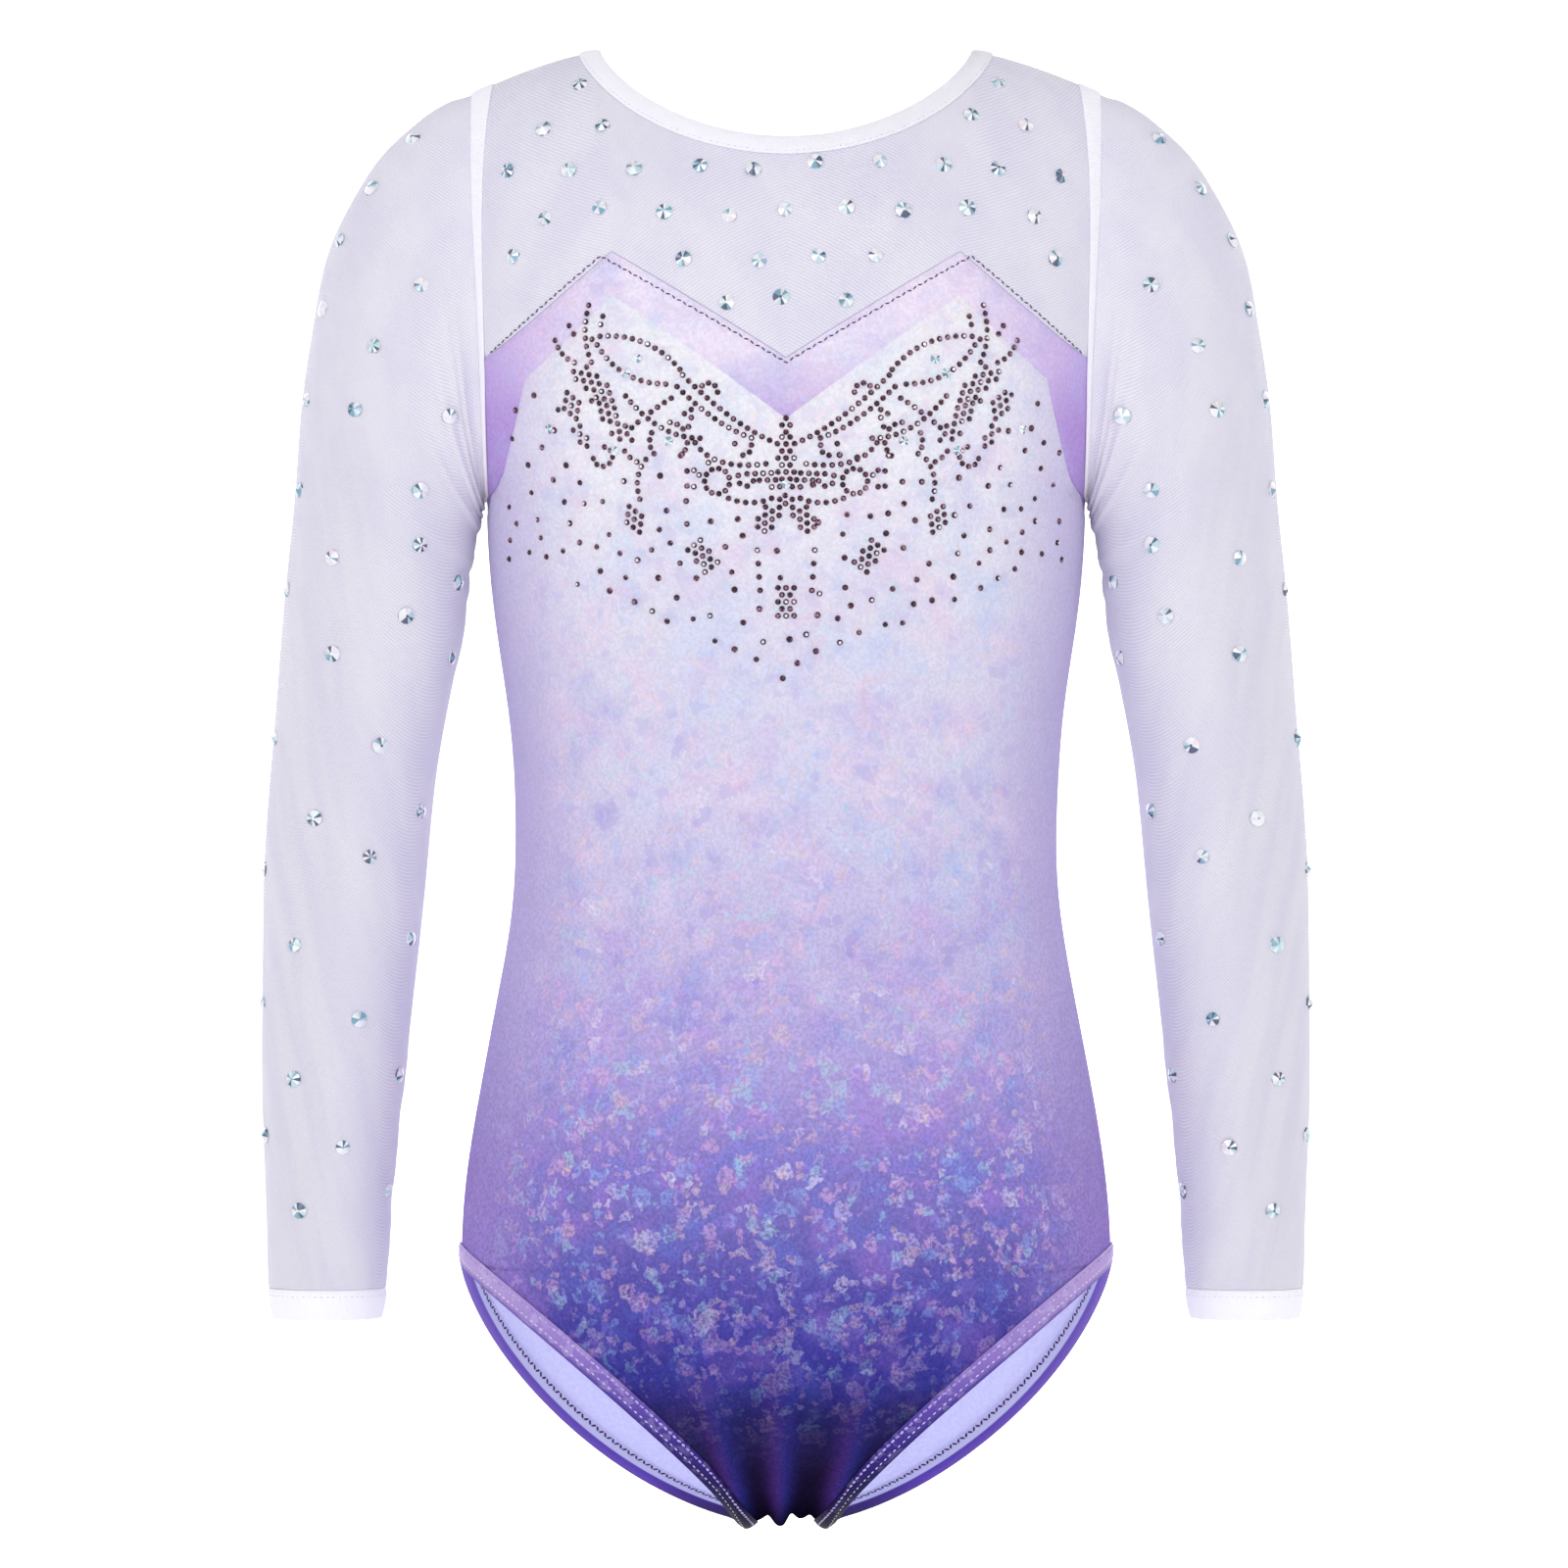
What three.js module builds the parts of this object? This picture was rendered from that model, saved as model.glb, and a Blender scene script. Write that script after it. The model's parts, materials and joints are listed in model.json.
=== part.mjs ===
// Long-sleeved gymnastics leotard for a child of six or seven, in the shape it has on a body.
// Millimetres, +Z up. The front faces -Y, and the wearer's left is +X. The origin is the middle
// of the crotch seam, where the garment rests on its wearer.
import * as THREE from "three";
import { ParametricGeometry } from "three/addons/geometries/ParametricGeometry.js";
import { mergeVertices } from "three/addons/utils/BufferGeometryUtils.js";

// Heights, each one counted up from the level before it.
const HIP_RISE = 92; // crotch to the top of the leg openings
const WAIST_RISE = 158; // on to the waist
const UNDERARM_RISE = 116; // on to the bottom of the armholes
const ARMHOLE_HEIGHT = 144; // on to the shoulder tips
const NECK_RISE = 15; // on to the neck points
const ARMHOLE_WIDEST = 38; // where an armhole is deepest, above its bottom

// Half widths of the front view.
const CROTCH_HALF = 18;
const HIP_HALF = 116;
const WAIST_HALF = 96.5;
const UNDERARM_HALF = 107;
const SHOULDER_HALF = 112;
const NECK_HALF = 66;

// Depths in front of and behind the side seams.
const FRONT_DEPTH = { hip: 78, waist: 68, chest: 76 };
const BACK_DEPTH = { hip: 90, waist: 62, chest: 76 };
const ARMHOLE_HALF_DEPTH = 32;

// Neckline, leg line and the sweetheart band.
const FRONT_NECK_DROP = 34;
const BACK_NECK_DROP = 40;
const NECK_ROUNDNESS = 0.7; // exponent of the scoop, 0.5 is an ellipse
const SHOULDER_SLOPE = 1.4; // exponent of the shoulder line, 1 is straight
const FRONT_LEG_CURVE = 1.25; // exponent of the front leg line, 1 is straight
const BACK_LEG_CURVE = 1.6; // exponent of the back leg line, 2 is an ellipse
const PEAK_X = 65; // the sweetheart's two peaks
const PEAK_RISE = 84; // above the underarm
const V_RISE = 46; // the notch between them, above the underarm
const BAND_SIDE_RISE = 48; // where the band meets the armhole, above the underarm
const BAND_AT_V = 21; // height of the band at the notch
const BAND_AT_PEAK = 17;
const BAND_AT_SIDE = 20; // width of the band beside the armhole, at its upper corner
const BAND_AT_FOOT = 3; // width beside the armhole, where it runs out
const BAND_CORNER_DROP = 11; // the inner corner, below the outer one
const BAND_FOOT_RISE = 2; // the foot of the inner edge, above the underarm
const BAND_END_DROP = 5; // the band's last point at the armhole, below the underarm
const BACK_PANEL_RISE = 26; // top of the back panel at the centre, above the underarm

// Sleeves.
const SLEEVE_LENGTH = 426; // shoulder tip straight down to the cuff seam
const SLEEVE_SPREAD = 74.5; // how far the sleeve's outer edge stands out from the shoulder tip
const WRIST_HALF = 21;
const WRIST_HALF_DEPTH = 21;
const UPPER_ARM_HALF_DEPTH = 36.5;
const CUFF_DEPTH = 10.5;
const CUFF_TAPER = 1.5; // how much the cuff draws in on each side

// Cloth, edges and seams.
const FABRIC = 0.8; // one layer
const CUFF_THICKNESS = 1.6; // two layers
const SEAM_GAP = 0.4; // between panels that are sewn together
const PLY_GAP = 0.3; // between layers that lie on each other
const FACET_SLACK = 1.7; // how far flat facets cut inside the round cloth
const EDGE_GAP = 1.5; // between a binding's fold and the edge inside it
const SLEEVE_GAP = 0.8; // between the armhole and the sleeve, which turns there
const BINDING_WIDTH = 8; // neck binding and leg hems, measured in from the edge
const BINDING_PLY = 0.6; // thickness of each side of a binding
const BINDING_EASE = 0.8; // room under a binding's outer side, which is flat across its width
const ELASTIC_WIDTH = 5.5;
const ELASTIC_THICKNESS = 0.8;
const SEAM_WIDTH = 5; // overlocked seam allowances on the inside
const SEAM_THICKNESS = 0.6;
const TAPE_INSET = 0.5; // armhole tape, in from the armhole's edge
const LINING_FRONT = 62; // degrees round the crotch that the lining covers
const LINING_BACK = 58;

// Facets: columns of a panel between its key lines, rows, and steps round rings.
const COLUMNS = [5, 2, 2, 3];
const CROTCH_ROWS = 11;
const SIDE_ROWS = 5;
const CHEST_ROWS = 2;
const ARMHOLE_ROWS = 4;
const YOKE_ROWS = 6;
const SLEEVE_SIDES = 16;
const SLEEVE_ROWS = 16;
const RING_STEPS = 32;
const SEAM_STEPS = 10;

const { degToRad, lerp } = THREE.MathUtils;
const FRONT = -1;
const BACK = 1;

const hipZ = HIP_RISE;
const waistZ = hipZ + WAIST_RISE;
const underarmZ = waistZ + UNDERARM_RISE;
const widestZ = underarmZ + ARMHOLE_WIDEST;
const shoulderZ = underarmZ + ARMHOLE_HEIGHT;
const neckZ = shoulderZ + NECK_RISE;
const wristZ = shoulderZ - SLEEVE_LENGTH;

// The depth below a panel's outer face where the next layer inside it starts, and how far the
// edge of a bound panel lies inside the binding's fold.
const underPanel = FABRIC + FACET_SLACK + PLY_GAP;
const boundInset = BINDING_PLY + EDGE_GAP;

// A value that eases between the given [height, value] stops and is level outside them.
function eased(z, stops) {
  if (z <= stops[0][0]) return stops[0][1];
  for (let i = 1; i < stops.length; i++) {
    const [z0, low] = stops[i - 1];
    const [z1, high] = stops[i];
    if (z <= z1) return lerp(low, high, (1 - Math.cos((Math.PI * (z - z0)) / (z1 - z0))) / 2);
  }
  return stops[stops.length - 1][1];
}

const widthStops = [
  [hipZ, HIP_HALF],
  [waistZ, WAIST_HALF],
  [underarmZ, UNDERARM_HALF],
  [shoulderZ, SHOULDER_HALF],
];

function widthAt(z) {
  return eased(z, widthStops);
}

function depthAt(z, side) {
  const depth = side === FRONT ? FRONT_DEPTH : BACK_DEPTH;
  return eased(z, [[hipZ, depth.hip], [waistZ, depth.waist], [widestZ, depth.chest]]);
}

// Half depth of the armhole at a height, squared: nothing below the underarm.
function armholeSquared(z) {
  if (z <= underarmZ) return 0;
  if (z >= widestZ) return ARMHOLE_HALF_DEPTH ** 2;
  return ARMHOLE_HALF_DEPTH ** 2 * (1 - ((widestZ - z) / ARMHOLE_WIDEST) ** 2);
}

// Height of the shoulder line, over a share of the half width.
function ridgeAt(share) {
  const neckShare = NECK_HALF / SHOULDER_HALF;
  const out = Math.max(0, (share - neckShare) / (1 - neckShare));
  return neckZ - NECK_RISE * out ** SHOULDER_SLOPE;
}

// The torso's surface is where y squared equals this. It is an oval at each height, cut off
// by the armholes, rounded under the crotch and over the shoulders.
function depthSquared(x, z, side) {
  const share = Math.abs(x) / widthAt(z);
  const depth = depthAt(z, side) ** 2;
  let rounding = 1;
  if (z < hipZ) rounding = 1 - (1 - z / hipZ) ** 2;
  if (z > widestZ) rounding = 1 - ((z - widestZ) / (ridgeAt(share) - widestZ)) ** 2;
  return rounding * (depth - share ** 2 * (depth - armholeSquared(z)));
}

function torsoPoint(x, z, side) {
  const y = Math.sqrt(Math.max(0, depthSquared(x, z, side)));
  return new THREE.Vector3(x, side * Math.max(y, SEAM_GAP / 2), z);
}

// The slope of y squared minus depthSquared, which points straight out of the torso.
function slopeAt(point) {
  const step = 0.01;
  const side = point.y < 0 ? FRONT : BACK;
  const change = (dx, dz) =>
    (depthSquared(point.x - dx, point.z - dz, side) -
      depthSquared(point.x + dx, point.z + dz, side)) /
    (2 * step);
  return new THREE.Vector3(change(step, 0), 2 * point.y, change(0, step));
}

function torsoNormal(point) {
  return slopeAt(point).normalize();
}

// Moves a point near the torso's surface onto it.
function ontoTorso(point) {
  for (let i = 0; i < 4; i++) {
    const slope = slopeAt(point);
    const off = point.y ** 2 - depthSquared(point.x, point.z, point.y < 0 ? FRONT : BACK);
    point.addScaledVector(slope, -off / slope.lengthSq());
  }
  return point;
}

function frontLegX(z) {
  const share = THREE.MathUtils.clamp(z / hipZ, 0, 1);
  return lerp(CROTCH_HALF, HIP_HALF, share ** FRONT_LEG_CURVE);
}

function backLegX(z) {
  const share = THREE.MathUtils.clamp(z / hipZ, 0, 1);
  return lerp(CROTCH_HALF, HIP_HALF, (1 - (1 - share) ** BACK_LEG_CURVE) ** (1 / BACK_LEG_CURVE));
}

function legX(z, side) {
  return side === FRONT ? frontLegX(z) : backLegX(z);
}

function neckEdgeZ(x, drop, half = NECK_HALF) {
  return neckZ - drop * Math.max(0, 1 - (x / half) ** 2) ** NECK_ROUNDNESS;
}

// A closed body from an open sheet of cloth: the sheet is its outer face, a second face lies one
// thickness inside, and a rim joins the two along every free edge.
function cloth(place, columns, rows, outward, thickness = FABRIC) {
  const draw = (u, v, target) => target.copy(place(u, v));
  const grid = new ParametricGeometry(draw, columns, rows);
  grid.deleteAttribute("uv");
  grid.deleteAttribute("normal");
  const sheet = mergeVertices(grid, 1e-4);
  sheet.computeVertexNormals();
  const at = sheet.attributes.position;
  const normals = sheet.attributes.normal;
  const points = [...at.array];
  for (let i = 0; i < at.count; i++) {
    const point = new THREE.Vector3().fromBufferAttribute(at, i);
    const normal = outward ? outward(point) : new THREE.Vector3().fromBufferAttribute(normals, i);
    points.push(...point.addScaledVector(normal, -thickness));
  }
  const faces = [];
  const edges = new Set();
  for (let i = 0; i < sheet.index.count; i += 3) {
    const [a, b, c] = sheet.index.array.slice(i, i + 3);
    if (a === b || b === c || c === a) continue;
    faces.push(a, b, c, c + at.count, b + at.count, a + at.count);
    for (const [from, to] of [[a, b], [b, c], [c, a]]) edges.add(from + " " + to);
  }
  for (const edge of edges) {
    const [from, to] = edge.split(" ").map(Number);
    if (edges.has(to + " " + from)) continue;
    faces.push(to, from, from + at.count, to, from + at.count, to + at.count);
  }
  return solid(points, faces);
}

// A strip of one cross-section laid along a line on the cloth. The line gives a point and its
// outward normal; the section's corners are [distance in from the line, height above the cloth],
// counter-clockwise. settle lays a point back onto the curved cloth.
function strip(line, steps, closed, section, settle = (point) => point) {
  const rings = [];
  const count = closed ? steps : steps + 1;
  for (let i = 0; i < count; i++) {
    const t = i / steps;
    const { point, normal } = line(t);
    const near = 0.002;
    const ahead = line(closed ? (t + near) % 1 : Math.min(1, t + near)).point;
    const behind = line(closed ? (t + 1 - near) % 1 : Math.max(0, t - near)).point;
    const along = ahead.sub(behind).normalize();
    const inward = normal.clone().cross(along).normalize();
    rings.push(
      section.map(([distance, height]) => {
        const place = settle(point.clone().addScaledVector(inward, distance));
        const up = settle === ontoTorso ? torsoNormal(place) : normal;
        return place.addScaledVector(up, height);
      }),
    );
  }
  const corners = section.length;
  const faces = [];
  const last = closed ? count : count - 1;
  for (let i = 0; i < last; i++) {
    for (let j = 0; j < corners; j++) {
      const a = i * corners + j;
      const b = i * corners + ((j + 1) % corners);
      const c = ((i + 1) % count) * corners + ((j + 1) % corners);
      const d = ((i + 1) % count) * corners + j;
      faces.push(a, b, c, a, c, d);
    }
  }
  if (!closed) {
    const end = (count - 1) * corners;
    for (let j = 1; j < corners - 1; j++) faces.push(0, j + 1, j, end, end + j, end + j + 1);
  }
  return solid(rings.flat().flatMap((point) => [...point]), faces);
}

function solid(points, faces) {
  const geometry = new THREE.BufferGeometry();
  geometry.setAttribute("position", new THREE.Float32BufferAttribute(points, 3));
  geometry.setIndex(faces);
  geometry.computeVertexNormals();
  return geometry;
}

// The same piece for the wearer's right: mirrored in X, with its faces turned back outwards.
function mirrored(geometry) {
  const copy = geometry.clone().applyMatrix4(new THREE.Matrix4().makeScale(-1, 1, 1));
  const faces = [...geometry.index.array];
  for (let i = 0; i < faces.length; i += 3) [faces[i], faces[i + 1]] = [faces[i + 1], faces[i]];
  copy.setIndex(faces);
  copy.computeVertexNormals();
  return copy;
}

function box(near, far, low, high) {
  return [[near, low], [far, low], [far, high], [near, high]];
}

// Sweetheart lines, as [share of the half width, height] corners from the centre outwards.
const peakZ = underarmZ + PEAK_RISE;
const sideZ = underarmZ + BAND_SIDE_RISE;
const peakShare = PEAK_X / widthAt(peakZ);
const cornerShare = 1 - BAND_AT_SIDE / widthAt(sideZ);
const footShare = 1 - BAND_AT_FOOT / widthAt(underarmZ);
const upperLine = [
  [0, underarmZ + V_RISE],
  [peakShare, peakZ],
  [1, sideZ],
];
const lowerLine = [
  [0, underarmZ + V_RISE - BAND_AT_V],
  [peakShare, peakZ - BAND_AT_PEAK],
  [cornerShare, sideZ - BAND_CORNER_DROP],
  [footShare, underarmZ + BAND_FOOT_RISE],
  [1, underarmZ - BAND_END_DROP],
];

function heightOn(line, share) {
  const i = Math.max(1, line.findIndex(([stop]) => share <= stop + 1e-9));
  const [from, low] = line[i - 1];
  const [to, high] = line[i];
  return lerp(low, high, (share - from) / (to - from));
}

// Columns of a panel from the right side seam to the left one, as shares of a quarter turn.
// One runs through each corner of the sweetheart lines.
function columnTurns() {
  const keys = [0, peakShare, cornerShare, footShare, 1].map((share) => Math.asin(share));
  const turns = [0];
  COLUMNS.forEach((count, i) => {
    for (let j = 1; j <= count; j++) turns.push(lerp(keys[i], keys[i + 1], j / count));
  });
  const half = turns.map((turn) => turn / (Math.PI / 2));
  return [...half.slice(1).reverse().map((turn) => -turn), ...half];
}

const turns = columnTurns();
const columns = turns.length - 1;

// A sheet on the torso between the side seams. levels lists its rows from the bottom up, each a
// function from the share of the half width to a height; legs narrow it below the hip.
function torsoSheet(side, levels) {
  const place = (u, v) => {
    const turn = turns[Math.round(u * columns)] * -side;
    const level = levels[Math.round(v * (levels.length - 1))];
    const z = level(Math.abs(Math.sin((turn * Math.PI) / 2)));
    let reach = 1;
    if (z < hipZ + boundInset) {
      reach = (legX(z - boundInset, side) - boundInset) / widthAt(z);
    }
    const share = Math.sin(turn * Math.asin(reach));
    return torsoPoint(share * widthAt(z), z, side);
  };
  return cloth(place, columns, levels.length - 1, torsoNormal);
}

// Rows from the crotch seam up to a line that rises and falls across the body.
function bodyLevels(side, topLine) {
  const first = Math.asin(SEAM_GAP / 2 / depthAt(0, side));
  const levels = [];
  for (let i = 0; i <= CROTCH_ROWS; i++) {
    const z = hipZ * (1 - Math.cos(lerp(first, Math.PI / 2, i / CROTCH_ROWS)));
    levels.push(() => z);
  }
  const chest = underarmZ - ARMHOLE_WIDEST;
  for (let i = 0; i <= SIDE_ROWS; i++) {
    const z = lerp(hipZ + boundInset, chest, i / SIDE_ROWS);
    levels.push(() => z);
  }
  const top = (share) => topLine(share) - SEAM_GAP / 2;
  const bottom = (share) => Math.min(underarmZ, top(share));
  for (let i = 1; i <= CHEST_ROWS; i++) {
    levels.push((share) => lerp(chest, bottom(share) - SEAM_GAP, i / CHEST_ROWS));
  }
  return side === FRONT ? levels.slice(0, -1).concat(top) : levels.concat(armholeLevels(bottom, top));
}

// Rows that follow the lower half of an armhole, close together at its bottom.
function armholeLevels(bottom, top) {
  const levels = [];
  for (let i = 0; i <= ARMHOLE_ROWS; i++) {
    const rise = ARMHOLE_WIDEST * (1 - Math.cos((Math.PI / 2) * (i / ARMHOLE_ROWS)));
    levels.push((share) => lerp(bottom(share), top(share), rise / BAND_SIDE_RISE));
  }
  return levels.concat(top);
}

function backPanelTop(share) {
  return lerp(underarmZ + BACK_PANEL_RISE, sideZ, share ** 2);
}

function yokeLevels(bottomLine, neckDrop) {
  const top = (share) =>
    Math.min(
      neckEdgeZ(share * SHOULDER_HALF, neckDrop + boundInset, NECK_HALF + boundInset),
      ridgeAt(share),
    );
  const levels = [];
  for (let i = 0; i <= YOKE_ROWS; i++) {
    const part = Math.sin((Math.PI / 2) * (i / YOKE_ROWS));
    levels.push((share) => lerp(bottomLine(share) + SEAM_GAP / 2, top(share), part));
  }
  return levels;
}

// Closed lines round the openings. Each runs with the cloth on its inward side.
function legLine(t) {
  const side = t <= 0.5 ? FRONT : BACK;
  const z = (hipZ * (1 - Math.cos(2 * Math.PI * t))) / 2;
  const x = legX(z, side);
  const y = side * Math.sqrt(Math.max(0, depthSquared(x, z, side)));
  const point = new THREE.Vector3(x, y, z);
  return { point, normal: torsoNormal(point) };
}

function neckLine(t) {
  const side = t <= 0.5 ? FRONT : BACK;
  const x = NECK_HALF * Math.cos(2 * Math.PI * t);
  const z = neckEdgeZ(x, side === FRONT ? FRONT_NECK_DROP : BACK_NECK_DROP);
  const y = side * Math.sqrt(Math.max(0, depthSquared(x, z, side)));
  const point = new THREE.Vector3(x, y, z);
  return { point, normal: torsoNormal(point) };
}

// A point of the armhole, from the shoulder tip (angle 0) round the back.
function armholePoint(angle) {
  const up = Math.cos(angle);
  const z = widestZ + up * (up > 0 ? shoulderZ - widestZ : ARMHOLE_WIDEST);
  return new THREE.Vector3(widthAt(z), ARMHOLE_HALF_DEPTH * Math.sin(angle), z);
}

function armholeLine(t) {
  const point = armholePoint(2 * Math.PI * t);
  return { point, normal: torsoNormal(point) };
}

function sideLine(t) {
  const clear = BINDING_WIDTH + SEAM_GAP;
  const z = lerp(hipZ + clear, underarmZ - clear, t);
  const point = new THREE.Vector3(widthAt(z), 0, z);
  return { point, normal: torsoNormal(point) };
}

function shoulderLine(t) {
  const clear = BINDING_WIDTH + SEAM_GAP;
  const x = lerp(NECK_HALF + clear, SHOULDER_HALF - clear, t);
  const point = new THREE.Vector3(x, 0, ridgeAt(x / SHOULDER_HALF));
  return { point, normal: torsoNormal(point) };
}

function crotchLine(t) {
  const reach = CROTCH_HALF - BINDING_WIDTH - PLY_GAP;
  const point = new THREE.Vector3(lerp(-reach, reach, t), 0, 0);
  return { point, normal: new THREE.Vector3(0, 0, -1) };
}

// A folded binding: one side over the panel, one side under the panel and its elastic.
const bindingOut = BINDING_EASE + BINDING_PLY;
const elasticTop = -underPanel;
const bindingIn = elasticTop - ELASTIC_THICKNESS - PLY_GAP;
const bindingSection = [
  [0, bindingIn - BINDING_PLY],
  [BINDING_WIDTH, bindingIn - BINDING_PLY],
  [BINDING_WIDTH, bindingIn],
  [BINDING_PLY, bindingIn],
  [BINDING_PLY, BINDING_EASE],
  [BINDING_WIDTH, BINDING_EASE],
  [BINDING_WIDTH, bindingOut],
  [0, bindingOut],
];
const elasticNear = BINDING_PLY + PLY_GAP;
const elasticSection = box(
  elasticNear,
  elasticNear + ELASTIC_WIDTH,
  elasticTop - ELASTIC_THICKNESS,
  elasticTop,
);
const seamSection = box(
  -SEAM_WIDTH / 2,
  SEAM_WIDTH / 2,
  -underPanel - SEAM_THICKNESS,
  -underPanel,
);
const tapeTop = FACET_SLACK / 2 - underPanel; // the rows lie close together at the armhole
const tapeSection = box(
  TAPE_INSET,
  TAPE_INSET + SEAM_WIDTH,
  tapeTop - SEAM_THICKNESS,
  tapeTop,
);

// The lining hangs across the crotch inside the hems, from front to back.
function crotchLining() {
  const depthIn = -bindingIn + BINDING_PLY + PLY_GAP;
  const place = (u, v) => {
    const angle = degToRad(lerp(-LINING_FRONT, LINING_BACK, u));
    const side = angle < 0 ? FRONT : BACK;
    const z = hipZ * (1 - Math.cos(angle));
    const reach = Math.min(frontLegX(z), backLegX(z)) - BINDING_PLY - BINDING_WIDTH / 4;
    const x = lerp(-reach, reach, v);
    const y = side * Math.sqrt(Math.max(0, depthSquared(x, z, side)));
    const point = new THREE.Vector3(x, y, z);
    return point.addScaledVector(torsoNormal(point), -depthIn);
  };
  return cloth(place, CROTCH_ROWS * 2, 4, null, BINDING_PLY);
}

// The sleeve is a row of ovals. Each has an outer and an inner end in the front view; these are
// shares of the way from the shoulder tip, or from the underarm, to the wrist.
const outerOut = [0, 0.24, 0.48, 0.66, 0.77, 0.835, 0.89, 0.96, 1, 0.993, 0.966];
const outerDown = [0, 0.021, 0.066, 0.127, 0.211, 0.315, 0.434, 0.582, 0.728, 0.869, 1];
const innerOut = [0, 0.01, 0.02, 0.035, 0.065, 0.12, 0.22, 0.51, 0.67, 0.87, 1];
const innerDown = [0, 0.005, 0.016, 0.03, 0.05, 0.085, 0.17, 0.37, 0.59, 0.8, 1];
const fullness = [0.7, 0.9, 1, 1, 0.97, 0.9, 0.81, 0.64, 0.51, 0.35, 0]; // wrist 0, upper arm 1
const armholeX = SHOULDER_HALF + SLEEVE_GAP;
const underarmX = UNDERARM_HALF + SLEEVE_GAP;
const wristInnerX = armholeX + SLEEVE_SPREAD * outerOut[10] - 2 * WRIST_HALF;
const outerEdge = new THREE.SplineCurve(
  outerOut.map(
    (out, i) =>
      new THREE.Vector2(armholeX + SLEEVE_SPREAD * out, shoulderZ - SLEEVE_LENGTH * outerDown[i]),
  ),
);
const innerEdge = new THREE.SplineCurve(
  innerOut.map(
    (out, i) =>
      new THREE.Vector2(lerp(underarmX, wristInnerX, out), lerp(underarmZ, wristZ, innerDown[i])),
  ),
);
const depthCurve = new THREE.SplineCurve(
  fullness.map(
    (full, i) => new THREE.Vector2(i, lerp(WRIST_HALF_DEPTH, UPPER_ARM_HALF_DEPTH, full)),
  ),
);
depthCurve.points[0].y = ARMHOLE_HALF_DEPTH;

// The deepest line of the oval is low at the armhole and in the middle from the elbow down.
function sleevePoint(v, angle) {
  const outer = outerEdge.getPoint(v);
  const inner = innerEdge.getPoint(v);
  const low = (ARMHOLE_HEIGHT - ARMHOLE_WIDEST) / ARMHOLE_HEIGHT;
  const middle = outer.clone().lerp(inner, lerp(low, 0.5, Math.min(1, v * 2)));
  const up = Math.cos(angle);
  const end = up > 0 ? outer : inner;
  const spot = middle.clone().addScaledVector(end.clone().sub(middle), Math.abs(up));
  const y = -depthCurve.getPoint(v).y * Math.sin(angle);
  return new THREE.Vector3(spot.x, y, spot.y);
}

function sleeve() {
  const place = (u, v) => {
    if (v > 0) return sleevePoint(v, 2 * Math.PI * u);
    const start = armholePoint(-2 * Math.PI * u);
    start.x += SLEEVE_GAP;
    return start;
  };
  return cloth(place, SLEEVE_SIDES, SLEEVE_ROWS);
}

function cuff() {
  const middleX = wristInnerX + WRIST_HALF;
  const place = (u, v) => {
    const angle = 2 * Math.PI * (u % 1);
    const draw = CUFF_TAPER * v;
    const x = middleX + (WRIST_HALF - draw) * Math.cos(angle);
    const y = -(WRIST_HALF_DEPTH - draw) * Math.sin(angle);
    return new THREE.Vector3(x, y, wristZ - SEAM_GAP - CUFF_DEPTH * v);
  };
  return cloth(place, SLEEVE_SIDES, 2, null, CUFF_THICKNESS);
}

function sleeveSeam() {
  const line = (t) => {
    const v = lerp(0.3, 0.985, t);
    const point = sleevePoint(v, Math.PI);
    const normal = point.clone().sub(sleevePoint(v, 0)).normalize();
    return { point, normal };
  };
  return strip(line, SEAM_STEPS * 2, false, seamSection);
}

const finish = {
  foil: { color: 0xa79ad8, roughness: 0.35, metalness: 0.35 },
  band: { color: 0xc9b6e8, roughness: 0.38, metalness: 0.3 },
  mesh: { color: 0xe9e6f6, roughness: 0.75, metalness: 0 },
  binding: { color: 0xf0eefa, roughness: 0.7, metalness: 0 },
  hem: { color: 0x8d7cc4, roughness: 0.45, metalness: 0.2 },
  elastic: { color: 0xf4f4f4, roughness: 0.85, metalness: 0 },
  lining: { color: 0xece9f4, roughness: 0.85, metalness: 0 },
  thread: { color: 0xe2def2, roughness: 0.8, metalness: 0 },
};

const leotard = new THREE.Group();
const torso = new THREE.Group();
const leftSleeve = new THREE.Group();
const rightSleeve = new THREE.Group();
leotard.add(torso, leftSleeve, rightSleeve);

function piece(group, name, geometry, look) {
  const mesh = new THREE.Mesh(geometry, new THREE.MeshStandardMaterial(finish[look]));
  mesh.name = name;
  group.add(mesh);
}

function pair(leftGroup, rightGroup, name, geometry, look) {
  piece(leftGroup, "left_" + name, geometry, look);
  piece(rightGroup, "right_" + name, mirrored(geometry), look);
}

const upper = (share) => heightOn(upperLine, share);
const lower = (share) => heightOn(lowerLine, share);
const bandFoot = (share) => lower(share) + SEAM_GAP / 2;
const bandTop = (share) => upper(share) - SEAM_GAP / 2;
const bandBottom = (share) => Math.max(bandFoot(share), underarmZ);
const bandLevels = [bandFoot, ...armholeLevels(bandBottom, bandTop)];

piece(torso, "front_panel", torsoSheet(FRONT, bodyLevels(FRONT, lower)), "foil");
piece(torso, "back_panel", torsoSheet(BACK, bodyLevels(BACK, backPanelTop)), "foil");
piece(torso, "sweetheart_band", torsoSheet(FRONT, bandLevels), "band");
piece(torso, "front_yoke", torsoSheet(FRONT, yokeLevels(upper, FRONT_NECK_DROP)), "mesh");
piece(torso, "back_yoke", torsoSheet(BACK, yokeLevels(backPanelTop, BACK_NECK_DROP)), "mesh");

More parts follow.
